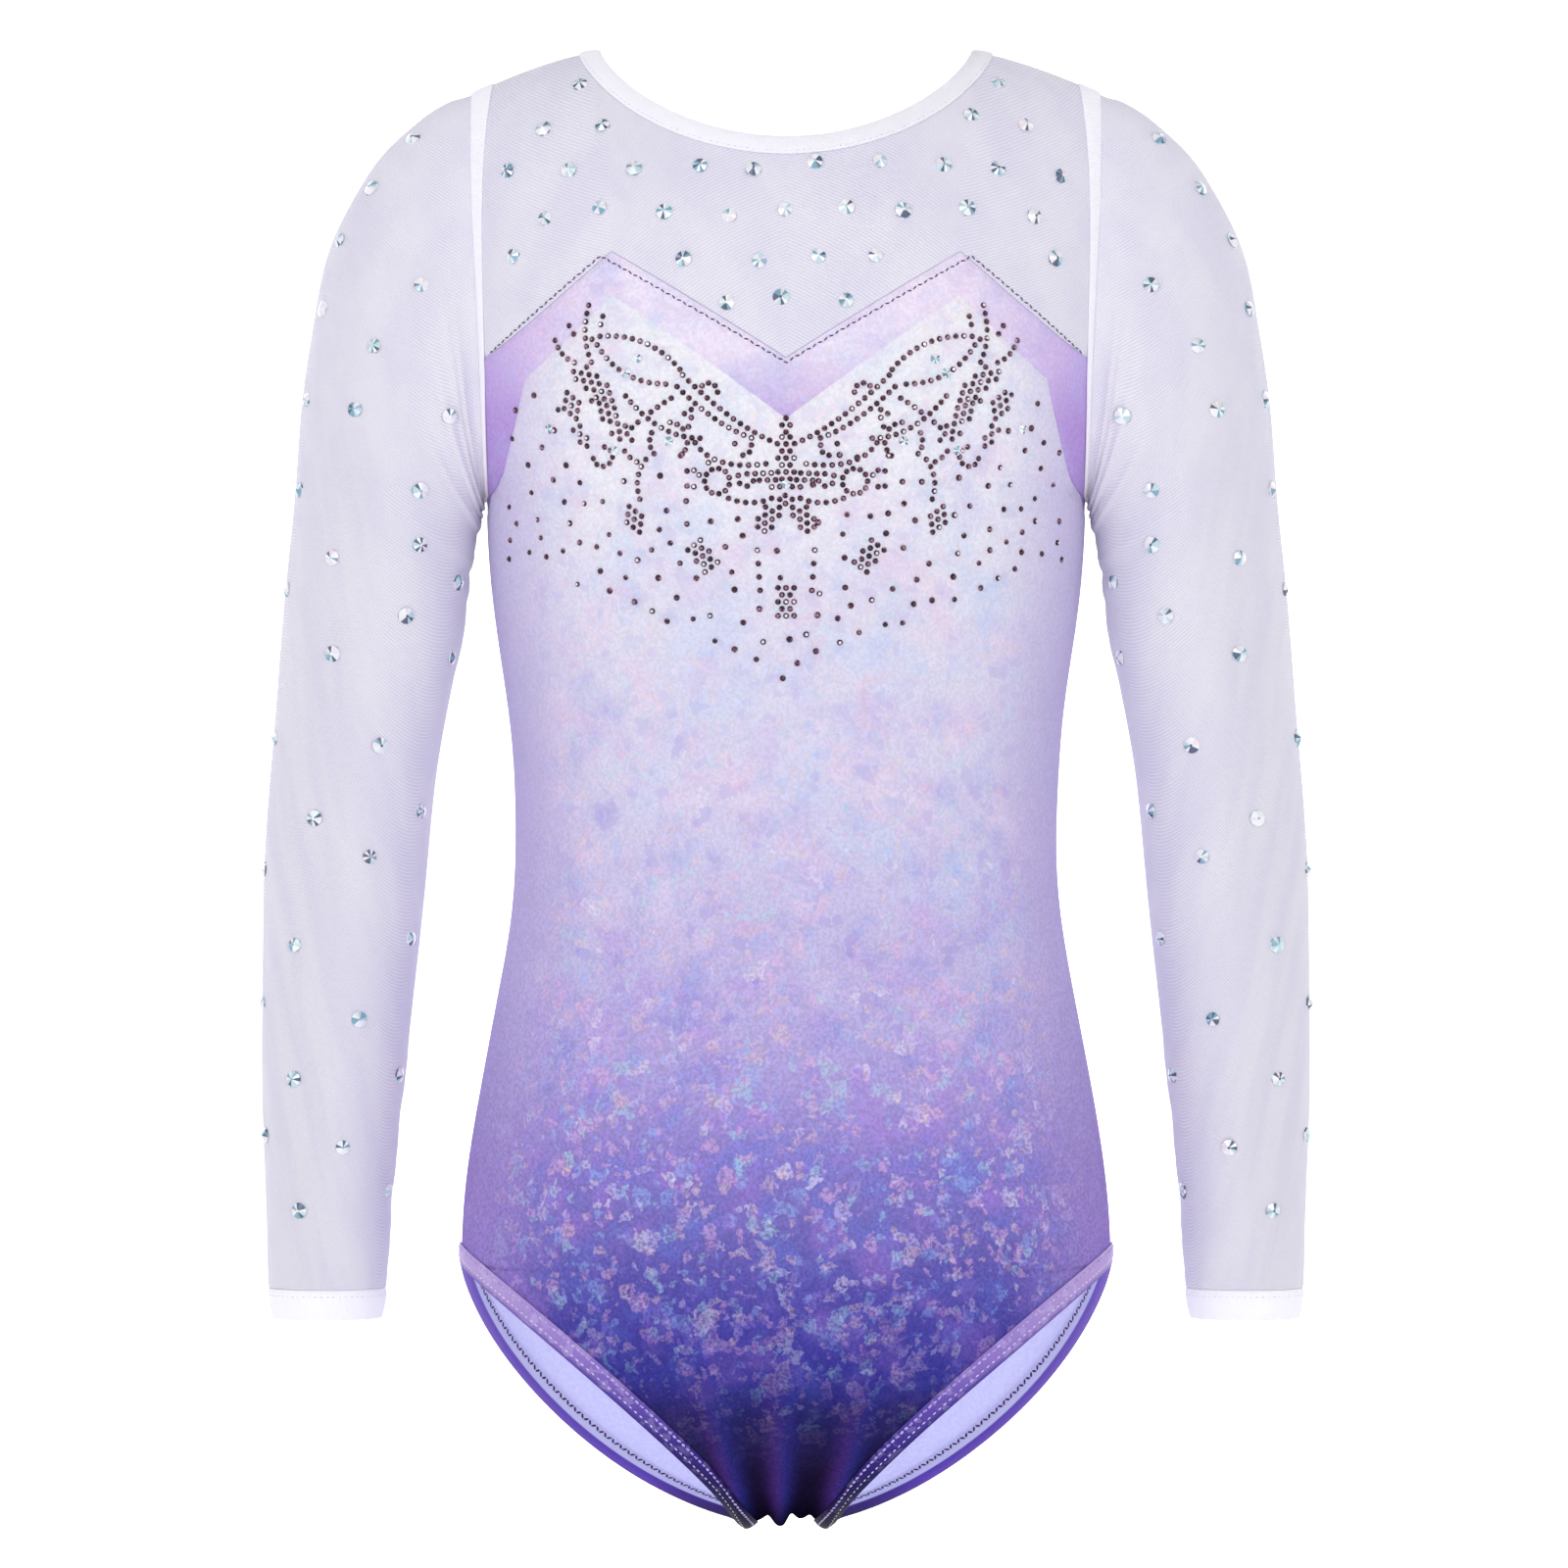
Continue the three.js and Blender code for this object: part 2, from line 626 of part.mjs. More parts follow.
const ring = (line, section) => strip(line, RING_STEPS, true, section, ontoTorso);
const seam = (line) => strip(line, SEAM_STEPS, false, seamSection, ontoTorso);
piece(torso, "neck_binding", ring(neckLine, bindingSection), "binding");
piece(torso, "neck_elastic", ring(neckLine, elasticSection), "elastic");
pair(torso, torso, "armhole_tape", ring(armholeLine, tapeSection), "binding");
pair(torso, torso, "leg_hem", ring(legLine, bindingSection), "hem");
pair(torso, torso, "leg_elastic", ring(legLine, elasticSection), "elastic");
pair(torso, torso, "side_seam", seam(sideLine), "thread");
pair(torso, torso, "shoulder_seam", seam(shoulderLine), "thread");
piece(torso, "crotch_seam", seam(crotchLine), "thread");
piece(torso, "crotch_lining", crotchLining(), "lining");

pair(leftSleeve, rightSleeve, "sleeve", sleeve(), "mesh");
pair(leftSleeve, rightSleeve, "cuff", cuff(), "binding");
pair(leftSleeve, rightSleeve, "sleeve_seam", sleeveSeam(), "thread");

export default leotard;
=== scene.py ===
# %% [markdown]
# # A long-sleeved gymnastics leotard in the shape it has on a body
# The leotard is sewn from five panels of stretch cloth: two of printed foil jersey for the
# body, one sweetheart band of lavender foil across the chest, and two yokes of sheer power
# mesh. Two tubes of the same mesh are the sleeves. Bindings, hems, elastics and seams close
# the edges, and several hundred stones are glued on.
# This first cell loads the frame, which is the plain solid model of the same leotard. Every
# piece below takes the place of one of its nodes, and most are parented to one of its bodies.

# %% Load the frame
import math
import bpy
import numpy as np
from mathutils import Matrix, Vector
from mathutils.bvhtree import BVHTree
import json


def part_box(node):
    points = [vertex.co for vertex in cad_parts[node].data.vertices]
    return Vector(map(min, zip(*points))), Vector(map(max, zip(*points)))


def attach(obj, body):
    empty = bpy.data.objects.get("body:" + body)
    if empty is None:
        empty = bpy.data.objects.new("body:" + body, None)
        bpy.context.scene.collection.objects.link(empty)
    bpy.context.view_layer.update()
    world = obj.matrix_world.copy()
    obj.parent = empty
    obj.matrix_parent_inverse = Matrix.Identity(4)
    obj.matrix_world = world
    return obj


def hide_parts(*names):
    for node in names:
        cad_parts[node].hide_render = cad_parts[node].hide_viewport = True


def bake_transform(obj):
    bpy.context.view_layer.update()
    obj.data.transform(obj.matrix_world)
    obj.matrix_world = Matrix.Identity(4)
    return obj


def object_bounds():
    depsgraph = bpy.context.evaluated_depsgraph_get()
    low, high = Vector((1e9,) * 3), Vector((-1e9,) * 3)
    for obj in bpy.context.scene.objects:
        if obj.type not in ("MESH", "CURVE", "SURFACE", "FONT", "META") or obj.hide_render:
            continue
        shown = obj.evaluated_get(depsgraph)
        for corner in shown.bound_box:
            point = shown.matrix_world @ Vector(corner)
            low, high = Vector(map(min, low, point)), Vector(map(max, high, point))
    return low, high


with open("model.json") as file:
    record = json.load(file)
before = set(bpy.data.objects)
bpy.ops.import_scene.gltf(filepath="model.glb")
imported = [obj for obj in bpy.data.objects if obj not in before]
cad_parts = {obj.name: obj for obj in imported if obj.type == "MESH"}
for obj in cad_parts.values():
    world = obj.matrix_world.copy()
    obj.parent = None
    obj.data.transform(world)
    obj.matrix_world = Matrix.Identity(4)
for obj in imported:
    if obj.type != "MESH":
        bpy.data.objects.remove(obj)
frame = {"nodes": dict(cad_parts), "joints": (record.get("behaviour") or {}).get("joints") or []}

frame_low, frame_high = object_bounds()
frame_middle = (frame_low + frame_high) / 2
print("frame box:", [round(v, 4) for v in (*frame_low, *frame_high)])

# %% [markdown]
# ## The studio
# A garment shown without its wearer hangs in an even white space. A flat floor with a sky
# behind it would draw a horizon line, so the floor here is the bottom of a wide bowl: a
# cylinder without its lid, whose lower edge is bevelled into a sweep. It is brightest behind
# the leotard and a soft grey on the other sides, which leaves the sides of the garment a
# little darker than its front. It is wide enough to hold a camera that steps back for arms
# that are raised.

# %% Bowl-shaped floor
FLOOR_DROP = 0.76
BOWL_RADIUS = 10.0
BOWL_HEIGHT = 8.0
BOWL_SWEEP = 3.2


def deselect_all():
    bpy.ops.object.select_all(action="DESELECT")


def edit_faces(piece, wanted):
    """Enters edit mode on piece with the faces selected for which wanted(face) is true."""
    deselect_all()
    bpy.context.view_layer.objects.active = piece
    piece.select_set(True)
    bpy.ops.object.mode_set(mode="EDIT")
    bpy.ops.mesh.select_all(action="DESELECT")
    bpy.ops.mesh.select_mode(type="FACE")
    bpy.ops.object.mode_set(mode="OBJECT")
    for face in piece.data.polygons:
        face.select = wanted(face)
    bpy.ops.object.mode_set(mode="EDIT")


def place_in_mesh(piece):
    """Moves an object's place, turn and scale into its mesh."""
    deselect_all()
    bpy.context.view_layer.objects.active = piece
    piece.select_set(True)
    bpy.ops.object.transform_apply(location=True, rotation=True, scale=True)


deselect_all()
floor_z = frame_low.z - FLOOR_DROP
bpy.ops.mesh.primitive_cylinder_add(
    vertices=96, radius=BOWL_RADIUS, depth=BOWL_HEIGHT, location=(0, 0, floor_z + BOWL_HEIGHT / 2)
)
bowl = bpy.context.object
bowl.name = "studio_bowl"
place_in_mesh(bowl)
edit_faces(bowl, lambda face: face.normal.z > 0.9)
bpy.ops.mesh.delete(type="FACE")
bpy.ops.object.mode_set(mode="OBJECT")
edit_faces(bowl, lambda face: face.normal.z < -0.9)
bpy.ops.mesh.bevel(offset=BOWL_SWEEP, segments=12, profile=0.5, affect="EDGES")
bpy.ops.mesh.select_all(action="SELECT")
bpy.ops.mesh.flip_normals()
bpy.ops.object.mode_set(mode="OBJECT")
bpy.ops.object.shade_smooth()
print("bowl faces:", len(bowl.data.polygons))

# %% [markdown]
# ## Node helpers
# Every finish below is a small node tree. These helpers keep the trees readable: one adds a
# node and sets or links its inputs, the others wrap the nodes that are used most. Colours
# are given as display values from 0 to 255, and turned into the linear values that shaders
# use.

# %% Helpers for node trees
def linear(red, green, blue):
    """A display colour, 0 to 255, as a linear RGBA value."""
    shares = [value / 255 for value in (red, green, blue)]
    return (*[s / 12.92 if s <= 0.04045 else ((s + 0.055) / 1.055) ** 2.4 for s in shares], 1.0)


def new_finish(name, roughness, metallic=0.0):
    """A material with a Principled shader, whose plain values are set on its sockets."""
    material = bpy.data.materials.new(name)
    material.use_nodes = True
    shader = material.node_tree.nodes["Principled BSDF"]
    shader.inputs["Roughness"].default_value = roughness
    shader.inputs["Metallic"].default_value = metallic
    return material, shader


def add_node(material, kind, settings=None, **inputs):
    """Adds one node. An input is a value or the socket that feeds it."""
    node = material.node_tree.nodes.new("ShaderNode" + kind)
    for key, value in (settings or {}).items():
        setattr(node, key, value)
    for key, value in inputs.items():
        feed(material, value, node.inputs[key.replace("_", " ")])
    return node


def feed(material, value, socket):
    if isinstance(value, bpy.types.NodeSocket):
        material.node_tree.links.new(value, socket)
    else:
        socket.default_value = value


def calc(material, operation, first, second=0.0, clamp=False):
    node = add_node(material, "Math", {"operation": operation, "use_clamp": clamp})
    feed(material, first, node.inputs[0])
    feed(material, second, node.inputs[1])
    return node.outputs[0]


def span(material, value, low, high, to_low=0.0, to_high=1.0):
    """value from low to high, eased and clamped, as to_low to to_high."""
    node = add_node(
        material, "MapRange", {"interpolation_type": "SMOOTHSTEP"}, Value=value, From_Min=low,
        From_Max=high, To_Min=to_low, To_Max=to_high,
    )
    return node.outputs[0]


def mix_colours(material, share, first, second, how="MIX"):
    node = add_node(material, "Mix", {"data_type": "RGBA", "blend_type": how})
    feed(material, share, node.inputs[0])
    feed(material, first, node.inputs[6])
    feed(material, second, node.inputs[7])
    return node.outputs[2]


def colour_steps(material, value, stops, sharp=False):
    """A colour ramp. stops are (place from 0 to 1, (red, green, blue)) from low to high."""
    ramp = add_node(material, "ValToRGB", Fac=value)
    ramp.color_ramp.interpolation = "CONSTANT" if sharp else "LINEAR"
    points = ramp.color_ramp.elements
    points[0].position, points[0].color = stops[0][0], linear(*stops[0][1])
    points[1].position, points[1].color = stops[-1][0], linear(*stops[-1][1])
    for place, colour in stops[1:-1]:
        points.new(place).color = linear(*colour)
    return ramp.outputs[0]


def put_bump(material, shader, height, depth, strength=1.0):
    bump = add_node(material, "Bump", Height=height, Distance=depth, Strength=strength)
    feed(material, bump.outputs[0], shader.inputs["Normal"])


def own_place(material):
    return add_node(material, "TexCoord").outputs["Object"]


def own_uv(material):
    return add_node(material, "TexCoord").outputs["UV"]


def own_value(material, name):
    return add_node(material, "Attribute", {"attribute_name": name}).outputs["Fac"]


# %% Finish of the bowl
def studio_finish():
    """Pale paint that glows a little, most of all on the side behind the leotard."""
    material, shader = new_finish("studio_white", roughness=0.9)
    place = add_node(material, "SeparateXYZ", Vector=own_place(material))
    behind = span(material, place.outputs["Y"], 2.4, 4.8, 0.18, 1.0)
    low = span(material, place.outputs["Z"], floor_z + 0.2, floor_z + 2.4, 0.24, 0.18)
    shader.inputs["Base Color"].default_value = linear(236, 236, 238)
    shader.inputs["Emission Color"].default_value = (1, 1, 1, 1)
    feed(material, calc(material, "MAXIMUM", behind, low), shader.inputs["Emission Strength"])
    return material


bowl.data.materials.append(studio_finish())

# %% [markdown]
# ## Light and camera
# Two large soft boxes stand in front, left and right of the camera, and a weaker one hangs
# above. They are large so that no hard shadow falls on the cloth, and in front so that the
# sides of the body fall off a little. The camera looks level at the middle of the garment
# from three metres with a long lens, which keeps its proportions flat.

# %% Lights and camera
CAMERA_DISTANCE = 3.0
PICTURE_WIDTH = 0.56
SENSOR = 36.0
AIM_SHIFT = Vector((-0.0007, 0, 0.001))


def soft_box(name, place, size, power):
    """A square area light at place that faces the middle of the leotard, unseen itself."""
    light = bpy.data.lights.new(name, "AREA")
    light.size = size
    light.energy = power
    lamp = bpy.data.objects.new(name, light)
    lamp.location = place
    lamp.rotation_euler = (frame_middle - Vector(place)).to_track_quat("-Z", "Y").to_euler()
    lamp.visible_camera = False
    bpy.context.scene.collection.objects.link(lamp)


soft_box("left_soft_box", (-1.6, -2.6, 1.5), 1.4, 15.3)
soft_box("right_soft_box", (1.5, -2.7, 1.2), 1.4, 11.6)
soft_box("top_soft_box", (0.0, -0.3, 2.6), 1.6, 6.7)

world = bpy.data.worlds.new("soft_room")
world.use_nodes = True
world.node_tree.nodes["Background"].inputs["Color"].default_value = (0.93, 0.94, 1.0, 1)
world.node_tree.nodes["Background"].inputs["Strength"].default_value = 0.32
bpy.context.scene.world = world
bpy.context.scene.view_settings.view_transform = "Standard"

aim = frame_middle + AIM_SHIFT
deselect_all()
bpy.ops.object.camera_add(
    location=(aim.x, -CAMERA_DISTANCE, aim.z), rotation=(math.radians(90), 0, 0)
)
camera = bpy.context.object
camera.data.sensor_width = SENSOR
camera.data.lens = SENSOR * CAMERA_DISTANCE / PICTURE_WIDTH
bpy.context.scene.camera = camera
print("lens:", round(camera.data.lens, 1), "mm, aimed at", [round(v, 4) for v in aim])

# %% [markdown]
# ## The shape of the torso
# A leotard is stretched over its wearer, so its shape is the wearer's: an oval at each
# height, cut off by the armholes and rounded under the crotch and over the shoulders. A
# cloth simulation would need that body and would end on the same surface, so the surface is
# written as a formula here, and every panel, hem and stone is laid on it. The sizes are
# those of the frame.

# %% Sizes of the torso
MM = 0.001
FRONT = -1
BACK = 1

joint = frame["joints"][0]
shoulder_x, _, SHOULDER_Z = (abs(value) for value in joint["pos_m"])
SLEEVE_GAP = 0.8 * MM
SHOULDER_HALF = shoulder_x - SLEEVE_GAP
UNDERARM_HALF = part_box("left_sleeve")[0].x - SLEEVE_GAP
WRIST_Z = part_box("left_sleeve")[0].z
HIP_Z = 92 * MM
WAIST_Z = 250 * MM
UNDERARM_Z = 366 * MM
WIDEST_Z = 404 * MM
NECK_Z = 525 * MM
CROTCH_HALF = 18 * MM
HIP_HALF = 116 * MM
WAIST_HALF = 96.5 * MM
NECK_HALF = 66 * MM
ARMHOLE_DEPTH = 32 * MM
WIDTHS = [
    (HIP_Z, HIP_HALF), (WAIST_Z, WAIST_HALF), (UNDERARM_Z, UNDERARM_HALF),
    (SHOULDER_Z, SHOULDER_HALF),
]
FRONT_DEPTHS = [(HIP_Z, 78 * MM), (WAIST_Z, 68 * MM), (WIDEST_Z, 76 * MM)]
BACK_DEPTHS = [(HIP_Z, 90 * MM), (WAIST_Z, 62 * MM), (WIDEST_Z, 76 * MM)]
print("shoulder", SHOULDER_HALF, "underarm", round(UNDERARM_HALF, 4), "wrist", round(WRIST_Z, 4))


# %% Surface of the torso
def blend_between(low, high, share):
    return low + (high - low) * share


def eased(z, stops):
    """A value that eases between (height, value) stops and is level outside them."""
    value = np.full(np.shape(z), float(stops[0][1]))
    for (z0, low), (z1, high) in zip(stops, stops[1:]):
        share = np.clip((z - z0) / (z1 - z0), 0, 1)
        rise = blend_between(low, high, (1 - np.cos(np.pi * share)) / 2)
        value = np.where(z > z0, rise, value)
    return value


def half_width(z):
    return eased(z, WIDTHS)


def half_depth(z, side):
    return np.where(np.asarray(side) == FRONT, eased(z, FRONT_DEPTHS), eased(z, BACK_DEPTHS))


def armhole_squared(z):
    """Half depth of the armhole at a height, squared."""
    below = np.clip((WIDEST_Z - z) / (WIDEST_Z - UNDERARM_Z), 0, 1)
    return ARMHOLE_DEPTH**2 * (1 - below**2)


def shoulder_line_z(share):
    """Height of the shoulder line over a share of the half width."""
    neck_share = NECK_HALF / SHOULDER_HALF
    out = np.clip((share - neck_share) / (1 - neck_share), 0, None)
    return NECK_Z - (NECK_Z - SHOULDER_Z) * out**1.4


def depth_squared(x, z, side):
    share = np.abs(x) / half_width(z)
    depth = half_depth(z, side) ** 2
    under = 1 - np.clip(1 - z / HIP_Z, 0, None) ** 2
    over = 1 - (np.clip(z - WIDEST_Z, 0, None) / (shoulder_line_z(share) - WIDEST_Z)) ** 2
    return under * over * (depth - share**2 * (depth - armhole_squared(z)))


def torso_point(x, z, side):
    y = np.sqrt(np.clip(depth_squared(x, z, side), (0.1 * MM) ** 2, None))
    return np.stack(np.broadcast_arrays(x, side * y, z), -1)


def side_of(points):
    return np.where(points[..., 1] < 0, FRONT, BACK)


def torso_slope(points):
    """Points straight out of the torso, and grows with the distance from its middle."""
    step = 0.01 * MM
    x, y, z = points[..., 0], points[..., 1], points[..., 2]
    side = side_of(points)
    by_x = (depth_squared(x - step, z, side) - depth_squared(x + step, z, side)) / (2 * step)
    by_z = (depth_squared(x, z - step, side) - depth_squared(x, z + step, side)) / (2 * step)
    return np.stack([by_x, 2 * y, by_z], -1)


def unit(vectors):
    return vectors / np.linalg.norm(vectors, axis=-1, keepdims=True)


def onto_torso(points):
    """Moves points that are near the torso's surface onto it."""
    for _ in range(4):
        slope = torso_slope(points)
        off = points[..., 1] ** 2 - depth_squared(points[..., 0], points[..., 2], side_of(points))
        points = points - slope * (off / (slope**2).sum(-1))[..., None]
    return points


# %% [markdown]
# ## Gathers and small waves in the cloth
# Where the crotch is narrow the cloth bunches into three soft folds, and it is never quite
# even elsewhere. These are displacements along the surface's own normal. All layers that lie
# on each other use the same function, so a hem or a lining follows the folds of its panel.

# %% Gathers and waves
GATHER_DEPTH = 1.7 * MM
GATHER_FADE = 42 * MM
FOLDS = ((-14.0 * MM, -0.28), (-2.0 * MM, 0.0), (14.0 * MM, 0.28))
FOLD_HALF = 3.4 * MM
NOTCHES = ((-6.2 * MM, 1.7 * MM), (1.8 * MM, 2.6 * MM), (8.4 * MM, 1.5 * MM))
NOTCH_HALF = 1.7 * MM
SLACK_DEPTH = 0.35 * MM


def leg_half(z, side):
    """Half width of the cloth between the leg openings."""
    share = np.clip(z / HIP_Z, 0, 1)
    front = share**1.25
    back = (1 - (1 - share) ** 1.6) ** (1 / 1.6)
    return blend_between(CROTCH_HALF, HIP_HALF, np.where(np.asarray(side) == FRONT, front, back))


def fold_crests(x, z):
    """How near a place is to one of the three folds, and on which side of it."""
    crest, side = 0 * x, 0 * x + 0.5
    for start, lean in FOLDS:
        off = (x - start - lean * z) / (FOLD_HALF + 0.06 * z)
        near = np.exp(-(off**2))
        crest = crest + near
        side = np.where(near > 0.02, np.clip(0.5 + off, 0, 1), side)
    return np.clip(crest, 0, 1), side


def waves(points):
    x, z = points[..., 0], points[..., 2]
    low = np.clip(z, 0, None)
    crest, _ = fold_crests(x, low)
    gathers = GATHER_DEPTH * np.exp(-low / GATHER_FADE) * (1.6 * crest - 0.8)
    for place, depth in NOTCHES:
        off = (x - place * (1 + low / (25 * MM))) / (NOTCH_HALF * (1 + low / (15 * MM)))
        gathers = gathers - depth * np.exp(-(off**2) - low / (12 * MM))
    waist = np.exp(-(((z - WAIST_Z) / (70 * MM)) ** 2))
    slack = np.sin(x / (13 * MM) + z / (37 * MM)) * np.sin(z / (17 * MM) - x / (60 * MM))
    return gathers + SLACK_DEPTH * slack * (0.4 + waist)


def lift(points, height):
    """Points on the torso, raised by height along its normal, with the waves of the cloth."""
    return points + unit(torso_slope(points)) * (height + waves(points))[..., None]


# %% [markdown]
# ## Cloth from a grid
# A panel is a grid of points on that surface. Mesh code makes the sheet with two UV
# coordinates in metres, along and across the cloth, and the Solidify modifier gives it the
# thickness of jersey. The inside gets its own material slot, because the wrong side of a
# foil print is plain.

# %% Sheets of cloth
JERSEY = 0.55 * MM


def run_lengths(points, axis):
    """Distance run along an axis of a grid of points, from its first line on."""
    steps = np.linalg.norm(np.diff(points, axis=axis), axis=-1)
    start = np.zeros_like(np.take(steps, [0], axis))
    return np.concatenate([start, np.cumsum(steps, axis)], axis)


def cloth_sheet(name, grid, outward, ring=False):
    """A sheet through a grid of points, rows by columns, with its faces turned outward."""
    rows, columns = grid.shape[:2]
    index = np.arange(rows * columns).reshape(rows, columns)
    across = run_lengths(grid, 1)
    across = across - across[:, columns // 2][:, None]
    uv = np.stack([across, run_lengths(grid, 0)], -1)
    if ring:
        closing = np.linalg.norm(grid[:, 0] - grid[:, -1], axis=-1) + across[:, -1]
        uv = np.concatenate([uv, np.stack([closing, uv[:, 0, 1]], -1)[:, None]], 1)
        index = np.concatenate([index, index[:, :1]], 1)

    def corners(table):
        parts = (table[:-1, :-1], table[:-1, 1:], table[1:, 1:], table[1:, :-1])
        return np.stack(parts, 2).reshape(-1, 4, *table.shape[2:])

    faces, face_uv = corners(index), corners(uv)
    flat = grid.reshape(-1, 3)
    a, b, d = flat[faces[:, 0]], flat[faces[:, 1]], flat[faces[:, 3]]
    if (np.cross(b - a, d - a) * outward.reshape(-1, 3)[faces[:, 0]]).sum() < 0:
        faces, face_uv = faces[:, ::-1], face_uv[:, ::-1]
    mesh = bpy.data.meshes.new(name)
    mesh.from_pydata(flat.tolist(), [], faces.tolist())
    layer = mesh.uv_layers.new(name="cloth")
    layer.data.foreach_set("uv", face_uv.reshape(-1).astype(np.float32))
    piece = bpy.data.objects.new(name, mesh)
    bpy.context.scene.collection.objects.link(piece)
    return piece


def give_value(piece, name, values):
    """Keeps one number for each point of a sheet, for its finish to read."""
    piece.data.attributes.new(name, "FLOAT", "POINT").data.foreach_set(
        "value", np.asarray(values, np.float32).reshape(-1)
    )


def thicken(piece, thickness, offset=-1.0):
    """Gives a sheet its thickness with Solidify. Its inside takes the second material."""
    deselect_all()
    bpy.context.view_layer.objects.active = piece
    piece.select_set(True)
    wall = piece.modifiers.new("thickness", "SOLIDIFY")
    wall.thickness = thickness
    wall.offset = offset
    wall.material_offset = 1
    bpy.ops.object.modifier_apply(modifier=wall.name)
    bpy.ops.object.shade_smooth_by_angle(angle=math.radians(60))


def dress(piece, finishes, slot_name, *nodes):
    """Materials, the finish slot of the record, which is not used, and the frame's nodes that it
    stands for.
    """
    for finish in finishes:
        piece.data.materials.append(finish)
    if nodes:
        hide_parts(*nodes)
    return piece


def report_fit(piece, node):
    """Prints how far the points of a piece lie from the node that it stands for."""
    cad = frame["nodes"][node].data
    tree = BVHTree.FromPolygons([v.co for v in cad.vertices], [f.vertices for f in cad.polygons])
    step = max(1, len(piece.data.vertices) // 3000)
    gaps = [tree.find_nearest(v.co)[3] for v in list(piece.data.vertices)[::step]]
    print(f"{piece.name}: {len(piece.data.polygons)} faces, at most {max(gaps) / MM:.1f} mm off")

# %% [markdown]
# ## Foil jersey
# The body is printed from pearl white at the chest, through lilac, to near black at the
# crotch, and the side parts stay lilac lower down; that side lilac is partly the print and
# partly painted shade, darker than the middle higher up where the sides turn away from the
# light. The crests of the gathers at the crotch get a painted highlight. Over the print lies
# a foil in ragged pastel shards, and pale clouds on the chest are painted sheen. Voronoi cells
# make good shards when a noise bends their borders, and a slower noise gathers them in
# clusters. The cells are read from the object's own coordinates, so they run on across the
# seams without a stretched UV map.

# %% Foil finish
PRINT_HEIGHT = 430 * MM


def shards(material, size, bend, limit):
    """Ragged cells of about size metres: (a mask that is 1 on the chosen cells, their hue)."""
    place = own_place(material)
    noise = add_node(material, "TexNoise", Vector=place, Scale=0.9 / size, Detail=3.0)
    offset = add_node(material, "VectorMath", {"operation": "SUBTRACT"})
    feed(material, noise.outputs["Color"], offset.inputs[0])
    offset.inputs[1].default_value = (0.5, 0.5, 0.5)
    bent = add_node(material, "VectorMath", {"operation": "MULTIPLY_ADD"})
    feed(material, offset.outputs[0], bent.inputs[0])
    bent.inputs[1].default_value = (bend, bend, bend)
    feed(material, place, bent.inputs[2])
    cells = add_node(material, "TexVoronoi", Vector=bent.outputs[0], Scale=1 / size)
    parts = add_node(material, "SeparateColor", Color=cells.outputs["Color"])
    cluster = add_node(material, "TexNoise", Vector=place, Scale=0.22 / size, Detail=2.0)
    chance = calc(material, "ADD", parts.outputs["Red"], cluster.outputs["Fac"])
    return span(material, chance, limit, limit + 0.12), parts.outputs["Green"]


def weave(material, shader, pitch, depth):
    """The fine grain of jersey as a bump. Returns its height for the colour to use."""
    grain = add_node(
        material, "TexNoise", Vector=own_place(material), Scale=0.6 / pitch, Detail=4.0
    )
    put_bump(material, shader, grain.outputs["Fac"], depth)
    return grain.outputs["Fac"]


SHARD_LIMIT = 1.22


